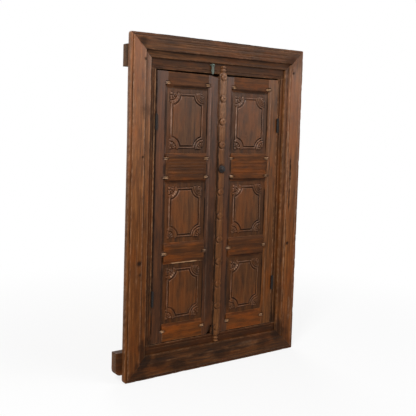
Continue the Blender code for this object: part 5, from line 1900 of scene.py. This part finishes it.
            # The pale line down the left jamb's bead is a painted highlight
            pale = side * (self.opening_half + 4.5 * MM)
            stains = [Stain(dirty, 0, 2.0, 0.30, 0.009), Stain(pale, 0.18, 0.75, -0.5, 0.0048), *stains]
        Piece(f"{word}_jamb", "worn", "frame", TIMBER_TEAK, Grain.UPRIGHT, stains).make(
            side * (self.opening_half + u), low.y + v - np.clip(lift, -1, 0), z)

    def peg(self, name: str) -> None:
        """Builds and dresses a whittled peg, whose back end stands a little proud of the timber.

        Args:
            name: the peg's name.
        """
        low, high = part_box(name)
        middle = (low + high) / 2
        ends = {"front": low.y, "back": high.y}
        rows = [(share, ends[end] + out * MM) for share, end, out in self.PEG_ENDS]
        share, y = np.array(rows).T[:, :, None]
        angles = np.linspace(0, 2 * math.pi, self.peg_sides, endpoint=False) + 0.2
        reach = (high.x - low.x) / 2 * share * (1 + 0.05 * np.cos(angles * 2 + middle.x * 50))
        Piece(name, "whittled", "frame", STRIP_TEAK, reach=1).make(
            middle.x + reach * np.cos(angles), y, middle.z + reach * np.sin(angles))

    def build(self) -> None:
        """Builds the timbers and pegs, and dresses the mirror and what closes the back."""
        self.cross_timber("lintel", 1, 0.0, 0.5 * MM)
        self.cross_timber("sill", -1, self.shoulder, self.corner_radius)
        self.jamb("left", LEFT)
        self.jamb("right", RIGHT)
        for name in ("left_top_peg", "left_bottom_peg", "right_top_peg", "right_bottom_peg"):
            self.peg(name)
        dress(MIRROR, "mirror_glass")
        dress(PLY, "backing_board")
        dress(ZINC, "left_hanging_plate", "right_hanging_plate")


class Ironwork:
    """Hinges, hasp and staple."""

    def build(self) -> None:
        """Dresses the iron parts."""
        for word in ("left", "right"):
            for level in HINGE_LEVELS:
                stem = f"{word}_{level}_hinge"
                dress(HINGE_IRON, f"{stem}_jamb_plate", f"{stem}_leaf_plate", f"{stem}_pin")
        dress(GREEN_IRON, "hasp", "hasp_staple")


# Studio

@dataclass
class Studio:
    """Floor, world, lamps and the camera at the photograph's angle."""

    place: tuple[float, float, float] = (-1.600, -2.1856, 0.309)
    yaw: float = 35.8
    pitch: float = -4.45
    roll: float = 1.71
    lens: float = 58.85
    shift: float = -0.0673
    floor_size: float = 80.0
    floor_gap: float = 0.5 * MM
    fill: float = 0.24

    WHITE = (1.0, 1.0, 1.0)
    # Place, height of the point it looks at, size, power, and whether it shows in metal and glass
    LAMPS = {
        "key": ((-2.4, -2.0, 1.9), 0.15, 0.8, 98, True),
        "window": ((2.3, -3.1, 1.6), 0.4, 1.4, 24, True),
        "top": ((0.4, -1.1, 2.6), 0.3, 1.2, 24, True),
        "low": ((-0.9, -2.2, -0.45), 0.30, 0.9, 9, False),
        "rear": ((1.5, 3.2, 1.8), 0, 2.0, 60, True),
    }

    def put(self, name: str, data: bpy.types.ID) -> bpy.types.Object:
        """Makes an object of some data and links it to the scene.

        Args:
            name: the object's name.
            data: its mesh, lamp or camera.

        Returns:
            The object.
        """
        made = bpy.data.objects.new(name, data)
        bpy.context.scene.collection.objects.link(made)
        return made

    def camera(self) -> None:
        """Puts up the camera."""
        yaw, pitch, roll = (math.radians(angle) for angle in (self.yaw, self.pitch, self.roll))
        ahead = Vector((math.sin(yaw) * math.cos(pitch), math.cos(yaw) * math.cos(pitch), math.sin(pitch)))
        level = Vector((math.cos(yaw), -math.sin(yaw), 0))
        above = level.cross(ahead)
        right = math.cos(roll) * level + math.sin(roll) * above
        up = -math.sin(roll) * level + math.cos(roll) * above
        data = bpy.data.cameras.new("camera")
        data.sensor_width = 36.0
        data.lens = self.lens
        data.shift_y = self.shift
        camera = self.put("camera", data)
        turn = Matrix((right, up, -ahead)).transposed().to_4x4()
        camera.matrix_world = Matrix.Translation(self.place) @ turn
        bpy.context.scene.camera = camera

    def lamps(self) -> None:
        """Adds square soft lamps, each turned to a point on the object's middle line."""
        for name, (place, height, size, power, mirrored) in self.LAMPS.items():
            data = bpy.data.lights.new(name, "AREA")
            data.size = size
            data.energy = power
            lamp = self.put(name, data)
            lamp.location = place
            lamp.visible_glossy = mirrored
            lamp.rotation_euler = (Vector((0, 0, height)) - Vector(place)).to_track_quat("-Z", "Y").to_euler()

    def world(self) -> None:
        """White to the eye and in reflections, and a gentle fill for the rest."""
        world = bpy.data.worlds.new("studio_world")
        bpy.context.scene.world = world
        world.use_nodes = True
        graph = Graph(world.node_tree)
        fill, white = (
            graph.node("ShaderNodeBackground", None, {"Color": self.WHITE, "Strength": strength})
            for strength in (self.fill, 1.0)
        )
        result = graph.node("ShaderNodeMixShader", None, {0: graph.in_view(), 1: fill, 2: white})
        graph.node("ShaderNodeOutputWorld", None, {"Surface": result})

    def floor(self) -> None:
        """Lays a plain pale floor, white to the eye but for the object's shadow."""
        material, graph = new_material("pale_floor")
        matt, dim = (
            graph.node("ShaderNodeBsdfDiffuse", None, {"Color": colour})
            for colour in ((0.86, 0.86, 0.86), (0.45, 0.42, 0.39))
        )
        white = graph.node("ShaderNodeEmission", None, {"Color": self.WHITE, "Strength": 1.0})
        place = graph.node("ShaderNodeTexCoord", output="Object")
        away = graph.node("ShaderNodeVectorMath", {"operation": "LENGTH"}, {0: place}, "Value")
        paleness = away.step(0.9, 2.2) * 0.20 + 0.80
        glow = graph.node("ShaderNodeMixShader", None, {0: paleness, 1: matt, 2: white})
        result = graph.node("ShaderNodeMixShader", None, {0: graph.in_view(), 1: dim, 2: glow})
        graph.node("ShaderNodeOutputMaterial", None, {"Surface": result})
        half = self.floor_size / 2
        level = CAD_BOX[0].z - self.floor_gap
        mesh = bpy.data.meshes.new("floor")
        corners = [(-half, -half, level), (half, -half, level), (half, half, level), (-half, half, level)]
        mesh.from_pydata(corners, [], [(0, 1, 2, 3)])
        mesh.materials.append(material)
        self.put("floor", mesh)

    def build(self) -> None:
        """Sets up everything round the object."""
        bpy.context.scene.view_settings.view_transform = "Standard"
        self.camera()
        self.world()
        self.floor()
        self.lamps()
        log.info("studio: camera, world, floor and %d lamps", len(self.LAMPS))


def main() -> None:
    """Builds the object's looks in order."""
    logging.basicConfig(level=logging.INFO, format="%(name)s: %(message)s")
    Studio().build()
    MouldedBoards().build()
    Leaf("left", LEFT, notches=((0.042, 0.007), (0.026, 0.032))).build()
    Leaf("right", RIGHT, meeting_lap=0.8 * MM).build()
    Strip().build()
    Pull().build()
    Carcass().build()
    Ironwork().build()


if __name__ == "__main__":
    main()
